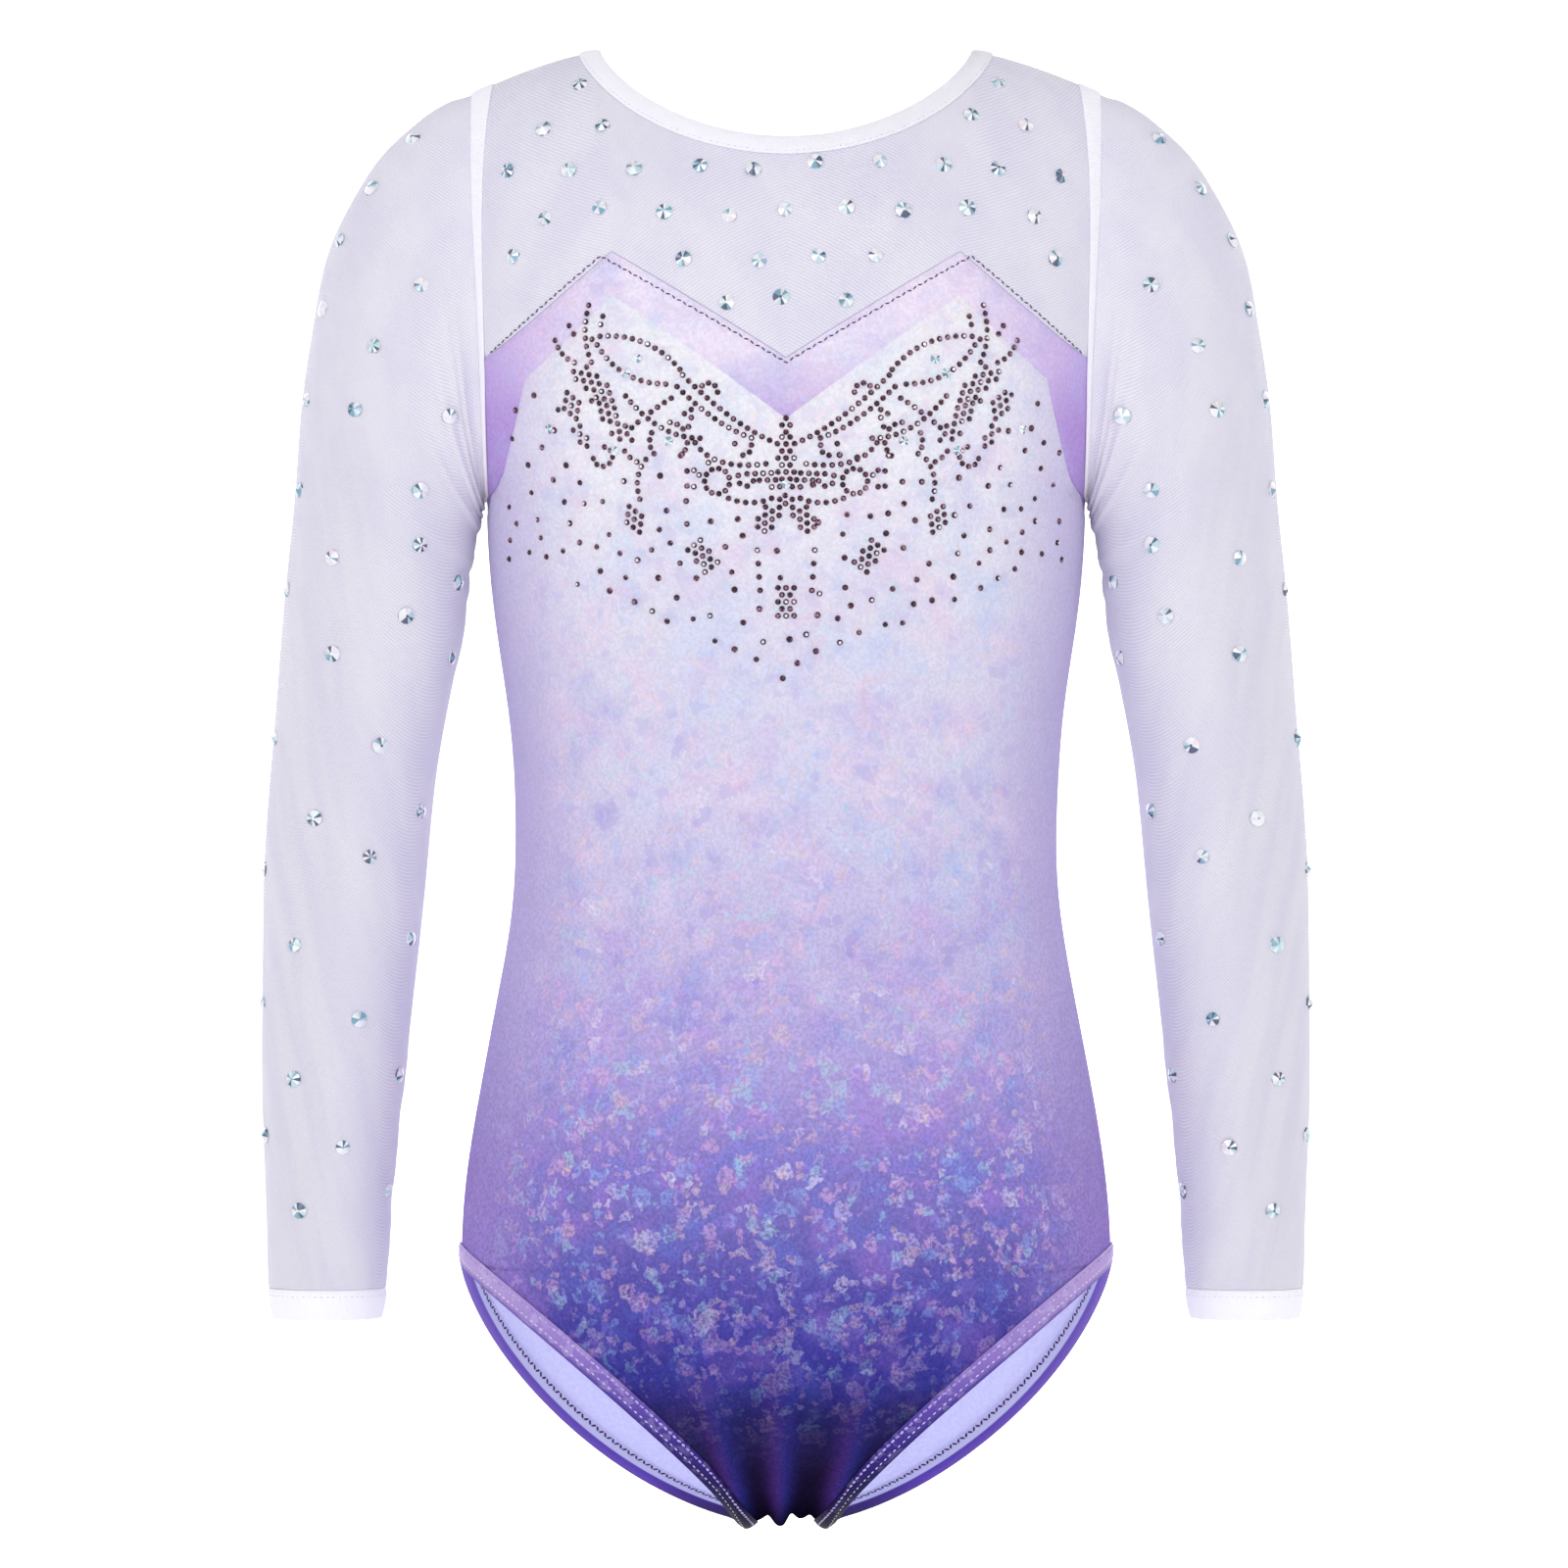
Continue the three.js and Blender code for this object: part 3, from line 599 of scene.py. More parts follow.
def foil_finish(name, ground, roughness=0.4, metallic=0.0, gloss=0.0, strength=(0.6, 0.2)):
    """Printed foil with painted sheen clouds on its chest. ground(material, place) gives the
    colour of the print.
    """
    material, shader = new_finish(name, roughness, metallic)
    place = add_node(material, "SeparateXYZ", Vector=own_place(material))
    colour = ground(material, place)
    low, high = strength
    fading = span(material, place.outputs["Z"], 0.08, 0.36, low, high)
    contrast = calc(material, "MULTIPLY", fading, span(material, place.outputs["Z"], 0.02, 0.13))
    inner = span(material, own_value(material, "to_side"), 0.72, 0.93, 1.0, 0.12)
    contrast = calc(material, "MULTIPLY", contrast, inner)
    grain = weave(material, shader, 0.7 * MM, 0.3 * MM)
    rubbed = span(material, grain, 0.34, 0.56, 0.35, 1.0)
    for scale, cloud_colour in ((58.0, (190, 140, 232)), (71.0, (104, 132, 226))):
        cloud = add_node(material, "TexNoise", Vector=own_place(material), Scale=scale, Detail=4.0)
        thick = span(material, cloud.outputs["Fac"], 0.48, 0.7)
        amount = calc(material, "MULTIPLY", thick, contrast)
        amount = calc(material, "MULTIPLY", amount, 0.6)
        colour = mix_colours(material, amount, colour, linear(*cloud_colour))
    # Pale blue and pink clouds over the chest are painted sheen on the foil, faded near the top
    # and at the sides.
    pale = span(material, place.outputs["Z"], 0.13, 0.24, 0.0, 0.34)
    near_top = span(material, place.outputs["Z"], 0.33, 0.4, 1.0, 0.45)
    pale = calc(material, "MULTIPLY", pale, near_top)
    for scale, cloud_colour in ((37.0, (204, 220, 250)), (43.0, (244, 218, 240))):
        cloud = add_node(material, "TexNoise", Vector=own_place(material), Scale=scale, Detail=5.0)
        amount = calc(material, "MULTIPLY", span(material, cloud.outputs["Fac"], 0.5, 0.66), pale)
        amount = calc(material, "MULTIPLY", amount, inner)
        colour = mix_colours(material, amount, colour, linear(*cloud_colour))
    for size, bend, share in ((5.0 * MM, 8 * MM, 0.72), (2.6 * MM, 4 * MM, 0.7)):
        chosen, hue = shards(material, size, bend, SHARD_LIMIT)
        pastel = colour_steps(
            material, hue,
            [
                (0.0, (236, 188, 226)), (0.2, (160, 190, 244)), (0.38, (240, 206, 206)),
                (0.52, (184, 226, 232)), (0.64, (150, 132, 222)), (0.82, (222, 206, 246)),
                (0.93, (248, 242, 254)), (1.0, (248, 242, 254)),
            ], sharp=True,
        )
        amount = calc(material, "MULTIPLY", chosen, calc(material, "MULTIPLY", contrast, share))
        amount = calc(material, "MULTIPLY", amount, rubbed)
        colour = mix_colours(material, amount, colour, pastel)
    swing = span(material, grain, 0.36, 0.64, -1.0, 0.75)
    depth = span(material, place.outputs["Z"], 0.08, 0.3, 0.15, 0.06)
    speckle = calc(material, "ADD", calc(material, "MULTIPLY", swing, depth), 1.0)
    grey = add_node(material, "CombineColor", Red=speckle, Green=speckle, Blue=speckle)
    colour = mix_colours(material, 1.0, colour, grey.outputs[0], "MULTIPLY")
    feed(material, colour, shader.inputs["Base Color"])
    shader.inputs["Specular IOR Level"].default_value = gloss
    shader.inputs["Specular Tint"].default_value = linear(120, 110, 160)
    return material


def body_print(material, place):
    """White to near black down the middle; lilac sides, print with painted shade; painted
    highlight on gather crests.
    """
    height = calc(material, "DIVIDE", place.outputs["Z"], PRINT_HEIGHT)
    middle = colour_steps(
        material, height,
        [
            (0.0, (7, 4, 12)), (0.05, (28, 20, 50)), (0.1, (40, 37, 98)), (0.13, (58, 56, 146)),
            (0.165, (74, 69, 162)), (0.21, (98, 90, 178)), (0.256, (124, 114, 194)),
            (0.302, (144, 130, 208)), (0.372, (180, 165, 225)), (0.442, (196, 184, 231)),
            (0.58, (219, 213, 240)), (0.72, (229, 225, 243)), (0.9, (248, 247, 252)),
            (1.0, (250, 249, 253)),
        ],
    )
    # The side colours are partly the print, which stays lilac lower down, and partly painted
    # shade: higher up the sides are painted darker than the middle, where they turn away from the
    # light.
    side_print_and_shade = colour_steps(
        material, height,
        [
            (0.0, (18, 11, 34)), (0.12, (92, 72, 162)), (0.21, (158, 134, 210)),
            (0.3, (168, 147, 213)), (0.37, (180, 164, 221)), (0.46, (195, 182, 229)),
            (0.7, (204, 194, 231)), (0.9, (216, 208, 237)),
        ],
    )
    to_side = span(material, own_value(material, "to_side"), 0.62, 0.98)
    colour = mix_colours(material, to_side, middle, side_print_and_shade)
    # Painted highlight on the crests of the gathers at the crotch, with one colour on the lit side
    # of each fold and another on its shaded side.
    crest = calc(material, "MULTIPLY", own_value(material, "crest"), 0.62)
    side = own_value(material, "fold_light_side")
    folds = mix_colours(material, side, linear(92, 56, 148), linear(60, 60, 164))
    return mix_colours(material, crest, colour, folds)


def band_print(material, place):
    """Pale lilac with blue clouds in the middle and a deeper violet outside the peaks, partly
    print and partly painted shade where the band turns to the sides.
    """
    out = calc(material, "ABSOLUTE", place.outputs["X"])
    colour = colour_steps(
        material, calc(material, "DIVIDE", out, SHOULDER_HALF),
        [
            (0.0, (242, 232, 250)), (0.5, (246, 234, 251)), (0.64, (238, 224, 248)),
            (0.84, (220, 198, 242)), (1.0, (198, 170, 234)),
        ],
    )
    foot = span(material, place.outputs["Z"], 0.418, 0.385, 0.0, 0.75)
    colour = mix_colours(material, foot, colour, linear(182, 148, 222))
    clouds = add_node(material, "TexNoise", Vector=own_place(material), Scale=70.0, Detail=2.0)
    blue = span(material, clouds.outputs["Fac"], 0.52, 0.66, 0.0, 0.18)
    return mix_colours(material, blue, colour, linear(190, 200, 244))


def wrong_side_with_glow_finish():
    """The unprinted side of the foil jersey: matt, pale blue-lavender, with its knit and a faint
    painted glow.
    """
    material, shader = new_finish("foil_wrong_side_with_glow", roughness=0.85)
    grain = weave(material, shader, 0.9 * MM, 0.2 * MM)
    tint = span(material, grain, 0.3, 0.7)
    colour = mix_colours(material, tint, linear(228, 227, 250), linear(240, 239, 255))
    feed(material, colour, shader.inputs["Base Color"])
    shader.inputs["Sheen Weight"].default_value = 0.15
    # Painted glow: the wrong side emits a little light of its own, as if lit through the thin
    # jersey.
    shader.inputs["Emission Color"].default_value = linear(190, 192, 240)
    shader.inputs["Emission Strength"].default_value = 0.2
    return material


body_foil = foil_finish("body_foil", body_print)
band_foil = foil_finish(
    "band_foil", band_print, roughness=0.42, metallic=0.06, gloss=0.14, strength=(0.3, 0.18)
)
wrong_side_with_glow = wrong_side_with_glow_finish()

# %% [markdown]
# ## Lines that divide the panels
# The front panel ends under the sweetheart band, a line with two peaks and a notch between
# them. The band narrows beside the armholes to a foot. Both lines are given by their few
# corners, as a share of the half width and a height.

# %% Sweetheart lines and columns
PEAK_X = 65 * MM
PEAK_Z = 450 * MM
SIDE_Z = 414 * MM
peak_share = PEAK_X / float(half_width(PEAK_Z))
corner_share = 1 - 12 * MM / float(half_width(SIDE_Z))
foot_share = 1 - 3 * MM / float(half_width(UNDERARM_Z))
UPPER_LINE = [(0, 412 * MM), (peak_share, PEAK_Z), (1, SIDE_Z)]
LOWER_LINE = [
    (0, 391 * MM), (peak_share, 434.5 * MM), (corner_share, 406 * MM), (foot_share, 370 * MM),
    (1, 361 * MM),
]
BACK_PANEL_TOP = 392 * MM
PANEL_GAP = 0.15 * MM


def upper_line(share):
    return np.interp(share, *zip(*UPPER_LINE))


def lower_line(share):
    return np.interp(share, *zip(*LOWER_LINE))


def back_panel_top(share):
    return blend_between(BACK_PANEL_TOP, SIDE_Z, share**2)


def columns_through(shares, count=64):
    """Columns as shares of a quarter turn, one of them through each of the given corners."""
    turns = np.linspace(-1, 1, 2 * count + 1)
    for share in shares:
        turn = math.asin(share) / (math.pi / 2)
        for side in (-1, 1):
            turns[np.abs(turns - side * turn).argmin()] = side * turn
    return turns


def width_shares(turns):
    return np.abs(np.sin(turns * math.pi / 2))


# %% [markdown]
# ## Rows of the panels
# Rows lie close together where the cloth turns under the crotch, and again at the bottom of
# the armholes, where the edge is steep. Every edge that is sewn to another panel dips a
# little, as the seam pulls it in.

# %% Rows and panels
EDGE_IN = 1.6 * MM
ARMHOLE_IN = 0.6 * MM
SEAM_DIP = 0.45 * MM
SEAM_REACH = 1.4 * MM
CHEST_Z = 328 * MM


def crotch_to_chest():
    angles = np.linspace(0.003, math.pi / 2, 64)
    under = HIP_Z * (1 - np.cos(angles))
    side = np.linspace(HIP_Z + EDGE_IN, CHEST_Z, 100)
    return np.concatenate([under, side])


def rows_between(low, high, parts):
    """One row for each part of the way from a lower to an upper line of heights."""
    return low + (high - low) * np.asarray(parts)[:, None]


def armhole_rows(low, top):
    """Rows that crowd at the bottom of the armhole, up to the line top."""
    rise = (WIDEST_Z - UNDERARM_Z) / (SIDE_Z - UNDERARM_Z)
    near = rise * (1 - np.cos(np.linspace(0, math.pi / 2, 26)))
    return rows_between(low, top, np.concatenate([near, np.linspace(rise, 1, 6)[1:]]))


def torso_grid(side, heights, turns):
    """Points of a panel. Legs narrow it below the hip, and the armhole binding above."""
    leg = (leg_half(heights - EDGE_IN, side) - EDGE_IN) / half_width(heights)
    rise = np.clip((heights - UNDERARM_Z) / (6 * MM), 0, 1)
    armhole = 1 - ARMHOLE_IN * rise / half_width(heights)
    reach = np.where(heights < HIP_Z + EDGE_IN, leg, armhole)
    x = np.sin(turns * np.arcsin(np.clip(reach, 0, 1))) * half_width(heights)
    return torso_point(x, heights, side)


def seam_dip(distance):
    return SEAM_DIP * np.exp(-((distance / SEAM_REACH) ** 2))


def sew_panel(name, grid, sewn_bottom, sewn_top):
    """A sheet on the torso that dips along its side edges and its sewn ends."""
    from_left = run_lengths(grid, 1)
    up = run_lengths(grid, 0)
    dip = np.maximum(seam_dip(from_left), seam_dip(from_left[:, -1:] - from_left))
    if sewn_bottom:
        dip = np.maximum(dip, seam_dip(up))
    if sewn_top:
        dip = np.maximum(dip, seam_dip(up[-1] - up))
    outward = unit(torso_slope(grid))
    piece = cloth_sheet(name, lift(grid, -dip), outward)
    x, z = grid[..., 0], grid[..., 2]
    give_value(piece, "to_side", np.abs(x) / half_width(z))
    crest, side = fold_crests(x, z)
    fade = np.exp(-((z / (52 * MM)) ** 2)) * np.clip(z / (14 * MM), 0, 1)
    # The crest value tells the body print where to paint a highlight on the fold crests.
    give_value(piece, "crest", crest * fade)
    give_value(piece, "fold_light_side", side)
    return piece


def finish_panel(piece, finishes, slot_name, node, thickness):
    """Dresses and thickens a panel of the torso."""
    dress(piece, finishes, slot_name, node)
    thicken(piece, thickness)
    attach(piece, "torso")
    report_fit(piece, node)


# %% Front and back body
corners = columns_through([peak_share, corner_share, foot_share])
shares = width_shares(corners)
trunk = np.repeat(crotch_to_chest()[:, None], len(corners), 1)

front_top = lower_line(shares) - PANEL_GAP
chest_rows = rows_between(trunk[-1], front_top, np.linspace(0, 1, 34)[1:])
front_heights = np.concatenate([trunk, chest_rows])
front_body = sew_panel("front_body", torso_grid(FRONT, front_heights, corners), True, True)
both_sides = [body_foil, wrong_side_with_glow]
finish_panel(front_body, both_sides, "foil", "front_panel", JERSEY)

plain = columns_through([])
plain_shares = width_shares(plain)
trunk = np.repeat(crotch_to_chest()[:, None], len(plain), 1)
back_top = back_panel_top(plain_shares) - PANEL_GAP
arm_low = np.minimum(UNDERARM_Z, back_top)
below_arm = rows_between(trunk[-1], arm_low, np.linspace(0, 1, 16)[1:-1])
back_heights = np.concatenate([trunk, below_arm, armhole_rows(arm_low, back_top)])
back_body = sew_panel("back_body", torso_grid(BACK, back_heights, plain), True, True)
finish_panel(back_body, both_sides, "foil", "back_panel", JERSEY)

# %% [markdown]
# ## The sweetheart band
# The band is its own strip of foil, cut to the two lines and sewn in between the body and
# the yoke. It is made in the same way as the panels, with its rows crowded at the foot.

# %% Sweetheart band
band_low = lower_line(shares) + PANEL_GAP
band_top = upper_line(shares) - PANEL_GAP
foot_low = np.maximum(band_low, UNDERARM_Z)
band_heights = armhole_rows(foot_low, band_top)
if (foot_low > band_low).any():
    band_heights = np.concatenate([rows_between(band_low, foot_low, [0.0, 0.5]), band_heights])
sweetheart = sew_panel("sweetheart_strip", torso_grid(FRONT, band_heights, corners), True, True)
finish_panel(
    sweetheart, [band_foil, wrong_side_with_glow], "band_foil", "sweetheart_band", JERSEY,
)

# %% [markdown]
# ## Power mesh
# The yokes and sleeves are a fine net. Modelled threads a third of a millimetre thick would
# need millions of faces, so the net is in the finish: a Voronoi texture with hardly any
# randomness is a grid, turned by 45 degrees into diamonds, and its cell middles are the
# holes, where the cloth is a little clearer. It reads the UV map, which is in metres,
# so the net bends with the sleeve.

# %% Mesh finish
NET_PITCH = 0.9 * MM
NET_THICKNESS = 0.35 * MM


def net_finish():
    material, shader = new_finish("power_mesh_net", roughness=0.75)
    turned = add_node(material, "Mapping", Vector=own_uv(material))
    turned.inputs["Rotation"].default_value = (0, 0, math.radians(45))
    cells = add_node(
        material, "TexVoronoi", Vector=turned.outputs[0], Scale=1 / NET_PITCH, Randomness=0.12
    )
    thread = span(material, cells.outputs["Distance"], 0.22, 0.42)
    feed(material, span(material, thread, 0.0, 1.0, 0.8, 0.98), shader.inputs["Alpha"])
    cloud = add_node(material, "TexNoise", Vector=own_uv(material), Scale=30.0, Detail=2.0)
    tint = span(material, cloud.outputs["Fac"], 0.35, 0.65)
    colour = mix_colours(material, tint, linear(240, 237, 252), linear(247, 244, 254))
    feed(material, colour, shader.inputs["Base Color"])
    put_bump(material, shader, thread, 0.08 * MM)
    shader.inputs["Sheen Weight"].default_value = 0.2
    return material


power_mesh = net_finish()

# %% [markdown]
# ## The yokes
# A yoke runs from the band, or from the back panel, up to the neckline and over to the
# shoulder seam. Its upper line is the lower of two: the scoop of the neck and the slope of
# the shoulder.

# %% Front and back yoke
FRONT_NECK_DROP = 34 * MM
BACK_NECK_DROP = 40 * MM


def neck_edge_z(x, drop, half=NECK_HALF):
    return NECK_Z - drop * np.clip(1 - (x / half) ** 2, 0, None) ** 0.7


def yoke_top(turns, drop):
    """The width of the torso depends on the height, so a few rounds settle the two."""
    z = np.full(turns.shape, NECK_Z)
    for _ in range(6):
        share = width_shares(turns * np.arcsin(1 - ARMHOLE_IN / half_width(z)) / (math.pi / 2))
        x = share * half_width(z)
        scoop = neck_edge_z(x, drop + EDGE_IN, NECK_HALF + EDGE_IN)
        z = np.minimum(scoop, shoulder_line_z(share))
    return z


def sew_yoke(name, node, side, bottom, turns, drop):
    parts = np.sin(np.linspace(0, math.pi / 2, 64))
    heights = rows_between(bottom + PANEL_GAP, yoke_top(turns, drop), parts)
    yoke = sew_panel(name, torso_grid(side, heights, turns), True, False)
    finish_panel(yoke, [power_mesh, power_mesh], "power_mesh", node, NET_THICKNESS)


narrowed = math.asin(1 - ARMHOLE_IN / SHOULDER_HALF) / (math.pi / 2)
neck_share = math.sin(math.asin((NECK_HALF + EDGE_IN) / SHOULDER_HALF) / narrowed)
front_turns = columns_through([peak_share, neck_share])
back_turns = columns_through([neck_share])
sew_yoke(
    "front_yoke_net", "front_yoke", FRONT, upper_line(width_shares(front_turns)), front_turns,
    FRONT_NECK_DROP,
)
sew_yoke(
    "back_yoke_net", "back_yoke", BACK, back_panel_top(width_shares(back_turns)), back_turns,
    BACK_NECK_DROP,
)

# %% [markdown]
# ## Strips along a line
# Bindings, hems, elastics, tapes and seams all follow a line on the torso. A strip is made
# from the line and a cross-section of (distance in from the line, height above the cloth)
# points. Each point is laid back onto the curved surface before it is raised, so a wide hem
# stays on the cloth where the line bends.

# %% Strips
def strip_frame(points, closed):
    """The outward and the inward direction at each point of a line on the torso."""
    outward = unit(torso_slope(points))
    if closed:
        along = np.roll(points, -1, 0) - np.roll(points, 1, 0)
    else:
        along = np.gradient(points, axis=0)
    return outward, unit(np.cross(outward, along))


def strip_sheet(name, points, section, closed):
    """section is corners × 2, or steps × corners × 2 where it changes along the line."""
    outward, inward = strip_frame(points, closed)
    section = np.broadcast_to(section, (len(points), *np.shape(section)[-2:]))
    place = onto_torso(points[:, None] + inward[:, None] * section[..., :1])
    raised = lift(place, section[..., 1])
    bend = np.gradient(section, axis=1)
    facing = inward[:, None] * bend[..., 1:] - outward[:, None] * bend[..., :1]
    return cloth_sheet(name, raised.transpose(1, 0, 2), facing.transpose(1, 0, 2), closed)


def folded_edge(out_width, in_width, out, inside, puff=0.25 * MM):
    """The middle line of a binding: over the cloth, round its edge and back underneath."""
    radius = (out - inside) / 2
    middle = (out + inside) / 2
    over = np.linspace(0, 1, 9)
    top = [(blend_between(out_width, radius, s), out + puff * math.sin(math.pi * s)) for s in over]
    turn = np.linspace(math.pi / 2, -math.pi / 2, 9)[1:-1]
    fold = [(radius - radius * math.cos(a), middle + radius * math.sin(a)) for a in turn]
    under = [(blend_between(radius, in_width, s), inside) for s in np.linspace(0, 1, 7)]
    return np.array(top + fold + under)


def flat_band(near, far, height):
    return np.array([(blend_between(near, far, s), height) for s in np.linspace(0, 1, 5)])


def around(line, steps):
    return line(np.arange(steps) / steps)


def neck_line(t):
    side = np.where(t <= 0.5, FRONT, BACK)
    x = NECK_HALF * np.cos(2 * np.pi * t)
    z = neck_edge_z(x, np.where(side == FRONT, FRONT_NECK_DROP, BACK_NECK_DROP))
    y = side * np.sqrt(np.clip(depth_squared(x, z, side), 0, None))
    return np.stack([x, y, z], -1)


def leg_line(t):
    """The wearer's left leg opening, from the crotch up the front and down the back."""
    side = np.where(t <= 0.5, FRONT, BACK)
    z = HIP_Z * (1 - np.cos(2 * np.pi * t)) / 2
    x = leg_half(z, side)
    y = side * np.sqrt(np.clip(depth_squared(x, z, side), 0, None))
    return np.stack([x, y, z], -1)


def armhole_line(t):
    """The wearer's left armhole, from the shoulder tip round the back."""
    up = np.cos(2 * np.pi * t)
    z = WIDEST_Z + up * np.where(up > 0, SHOULDER_Z - WIDEST_Z, WIDEST_Z - UNDERARM_Z)
    return np.stack([half_width(z), ARMHOLE_DEPTH * np.sin(2 * np.pi * t), z], -1)


# %% [markdown]
# ## White binding, elastic and tape
# The neck edge is bound with a white jersey strip that is folded over it and over an elastic.
# The armholes are covered by a narrower strip, which is widest at the shoulder. White cloth
# needs its knit and a little warmth in its shade, or it looks like paper.

# %% Trim finishes
def knit_finish(name, light, dark, rib, depth, roughness=0.8, sheen=0.2, glow=0.0):
    """Ribbed knit: fine ribs across the strip and a soft unevenness."""
    material, shader = new_finish(name, roughness)
    ribs = add_node(
        material, "TexWave", {"bands_direction": "X"}, Vector=own_uv(material),
        Scale=1 / rib / 3.14, Distortion=0.6, Detail=1.0,
    )
    cloud = add_node(material, "TexNoise", Vector=own_uv(material), Scale=220.0, Detail=3.0)
    share = calc(material, "MULTIPLY", ribs.outputs["Fac"], cloud.outputs["Fac"])
    colour = mix_colours(material, span(material, share, 0.05, 0.6), linear(*dark), linear(*light))
    feed(material, colour, shader.inputs["Base Color"])
    put_bump(material, shader, share, depth)
    shader.inputs["Sheen Weight"].default_value = sheen
    shader.inputs["Emission Color"].default_value = linear(*light)
    shader.inputs["Emission Strength"].default_value = glow
    return material


white_jersey = knit_finish(
    "white_jersey", (255, 254, 255), (244, 242, 252), 0.9 * MM, 0.2 * MM, glow=0.12
)
woven_elastic = knit_finish("woven_elastic", (246, 246, 244), (214, 214, 214), 1.3 * MM, 0.3 * MM)
brushed_lining = knit_finish(
    "brushed_lining", (238, 235, 246), (220, 216, 234), 1.1 * MM, 0.1 * MM
)
overlock = knit_finish("overlock_thread", (236, 232, 248), (186, 178, 216), 1.6 * MM, 0.5 * MM)

# %% Neck binding, neck elastic and armhole strips
BINDING = 8 * MM
BINDING_PLY = 0.5 * MM
binding_section = folded_edge(BINDING, BINDING, 0.5 * MM, -2.2 * MM)
elastic_section = flat_band(2.2 * MM, 7.4 * MM, -1.25 * MM)


def make_strip(name, node, points, section, closed, ply, finish, slot_name):
    piece = strip_sheet(name, points, section, closed)
    dress(piece, [finish, finish], slot_name, node)
    thicken(piece, ply, offset=0.0)
    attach(piece, "torso")
    return piece


def mirrored(points):
    return points * np.array([-1, 1, 1])


neck_points = around(neck_line, 360)
neck_edge = make_strip(
    "neck_binding_strip", "neck_binding", neck_points, binding_section, True, BINDING_PLY,
    white_jersey, "white_trim",
)
report_fit(neck_edge, "neck_binding")
make_strip(
    "neck_elastic_band", "neck_elastic", neck_points, elastic_section, True, 0.7 * MM,
    woven_elastic, "elastic",
)

TAPE_TOP = 8.5 * MM
TAPE_FOOT = 2.2 * MM
steps = np.arange(300) / 300
tape_widths = blend_between(TAPE_FOOT, TAPE_TOP, ((1 + np.cos(2 * np.pi * steps)) / 2) ** 3)
tape_section = np.stack(
    [folded_edge(w, 4.6 * MM, 0.35 * MM, -1.0 * MM, 0.1 * MM) - (0.1 * MM, 0) for w in tape_widths]
)
left_armhole = armhole_line(steps)
for side, points in (("left", left_armhole), ("right", mirrored(left_armhole)[::-1])):
    section = tape_section if side == "left" else tape_section[::-1]
    tape = make_strip(
        side + "_armhole_strip", side + "_armhole_tape", points, section, True, 0.4 * MM,
        white_jersey, "white_trim",
    )
    report_fit(tape, side + "_armhole_tape")

# %% [markdown]
# ## Leg hems
# The body's own foil is turned over an elastic at each leg. The fold is the darkest line,
# and the turned-in part shows its plain wrong side towards its raw edge. The hem is near
# black at the crotch and lilac at the hip. The V coordinate runs across the strip, so the
# finish can place the fold by it.

# %% Hem finish, hems and elastics
HEM = 8 * MM
HEM_PLY = 0.5 * MM


def hem_finish():
    material, shader = new_finish("turned_hem_foil", roughness=0.45, metallic=0.02)
    across = add_node(material, "SeparateXYZ", Vector=own_uv(material)).outputs["Y"]
    place = add_node(material, "SeparateXYZ", Vector=own_place(material))
    rise = calc(material, "DIVIDE", place.outputs["Z"], HIP_Z)
    behind = span(material, place.outputs["Y"], -0.01, 0.01)
    outside = colour_steps(
        material, rise,
        [
            (0.0, (14, 9, 28)), (0.16, (34, 25, 84)), (0.34, (64, 50, 140)),
            (0.5, (104, 84, 176)), (0.7, (152, 126, 206)), (1.0, (196, 170, 226)),
        ],
    )
    front_fold = colour_steps(
        material, rise,
        [(0.0, (12, 8, 24)), (0.3, (42, 32, 104)), (0.6, (88, 72, 160)), (1.0, (142, 118, 196))],
    )
    back_fold = colour_steps(
        material, rise, [(0.0, (24, 16, 52)), (0.14, (108, 82, 184)), (1.0, (140, 116, 204))]
    )
    fold = mix_colours(material, behind, front_fold, back_fold)
    # The turned-in part shows the plain wrong side; its colour is made a little brighter as a
    # painted glow, in place of the glow of the wrong side's finish.
    inside = mix_colours(material, 0.06, linear(232, 231, 255), outside)
    near_fold = span(material, across, 5.0 * MM, 7.4 * MM)
    colour = mix_colours(material, near_fold, outside, fold)
    turned_in = span(material, across, 11.4 * MM, 12.2 * MM)
    colour = mix_colours(material, turned_in, colour, inside)
    chosen, _ = shards(material, 2.6 * MM, 3 * MM, 1.15)
    on_outside = span(material, across, 7.4 * MM, 6.4 * MM)
    glint = calc(material, "MULTIPLY", calc(material, "MULTIPLY", chosen, on_outside), rise)
    glint = calc(material, "MULTIPLY", glint, 0.35)
    colour = mix_colours(material, glint, colour, linear(216, 200, 242))
    feed(material, colour, shader.inputs["Base Color"])
    shader.inputs["Specular IOR Level"].default_value = 0.03
    weave(material, shader, 0.8 * MM, 0.25 * MM)
    return material


hem_foil = hem_finish()
hem_section = folded_edge(HEM, HEM, 0.45 * MM, -2.2 * MM, 0.3 * MM)
leg_points = around(leg_line, 420)
sides = (("left", lambda points: points), ("right", lambda points: mirrored(points)[::-1]))
for side, turn_to_side in sides:
    points = turn_to_side(leg_points)
    hem = make_strip(
        side + "_leg_fold", side + "_leg_hem", points, hem_section, True, HEM_PLY,
        hem_foil, "hem_foil",
    )
    report_fit(hem, side + "_leg_hem")
    make_strip(
        side + "_leg_elastic_band", side + "_leg_elastic", points, elastic_section, True,
        0.7 * MM, woven_elastic, "elastic",
    )

# %% [markdown]
# ## Seams and lining on the inside
# Inside, each seam is a strip of overlocked allowance, pressed to one side, and the crotch
# has a lining of brushed jersey. They show through the sheer yokes and the leg openings.

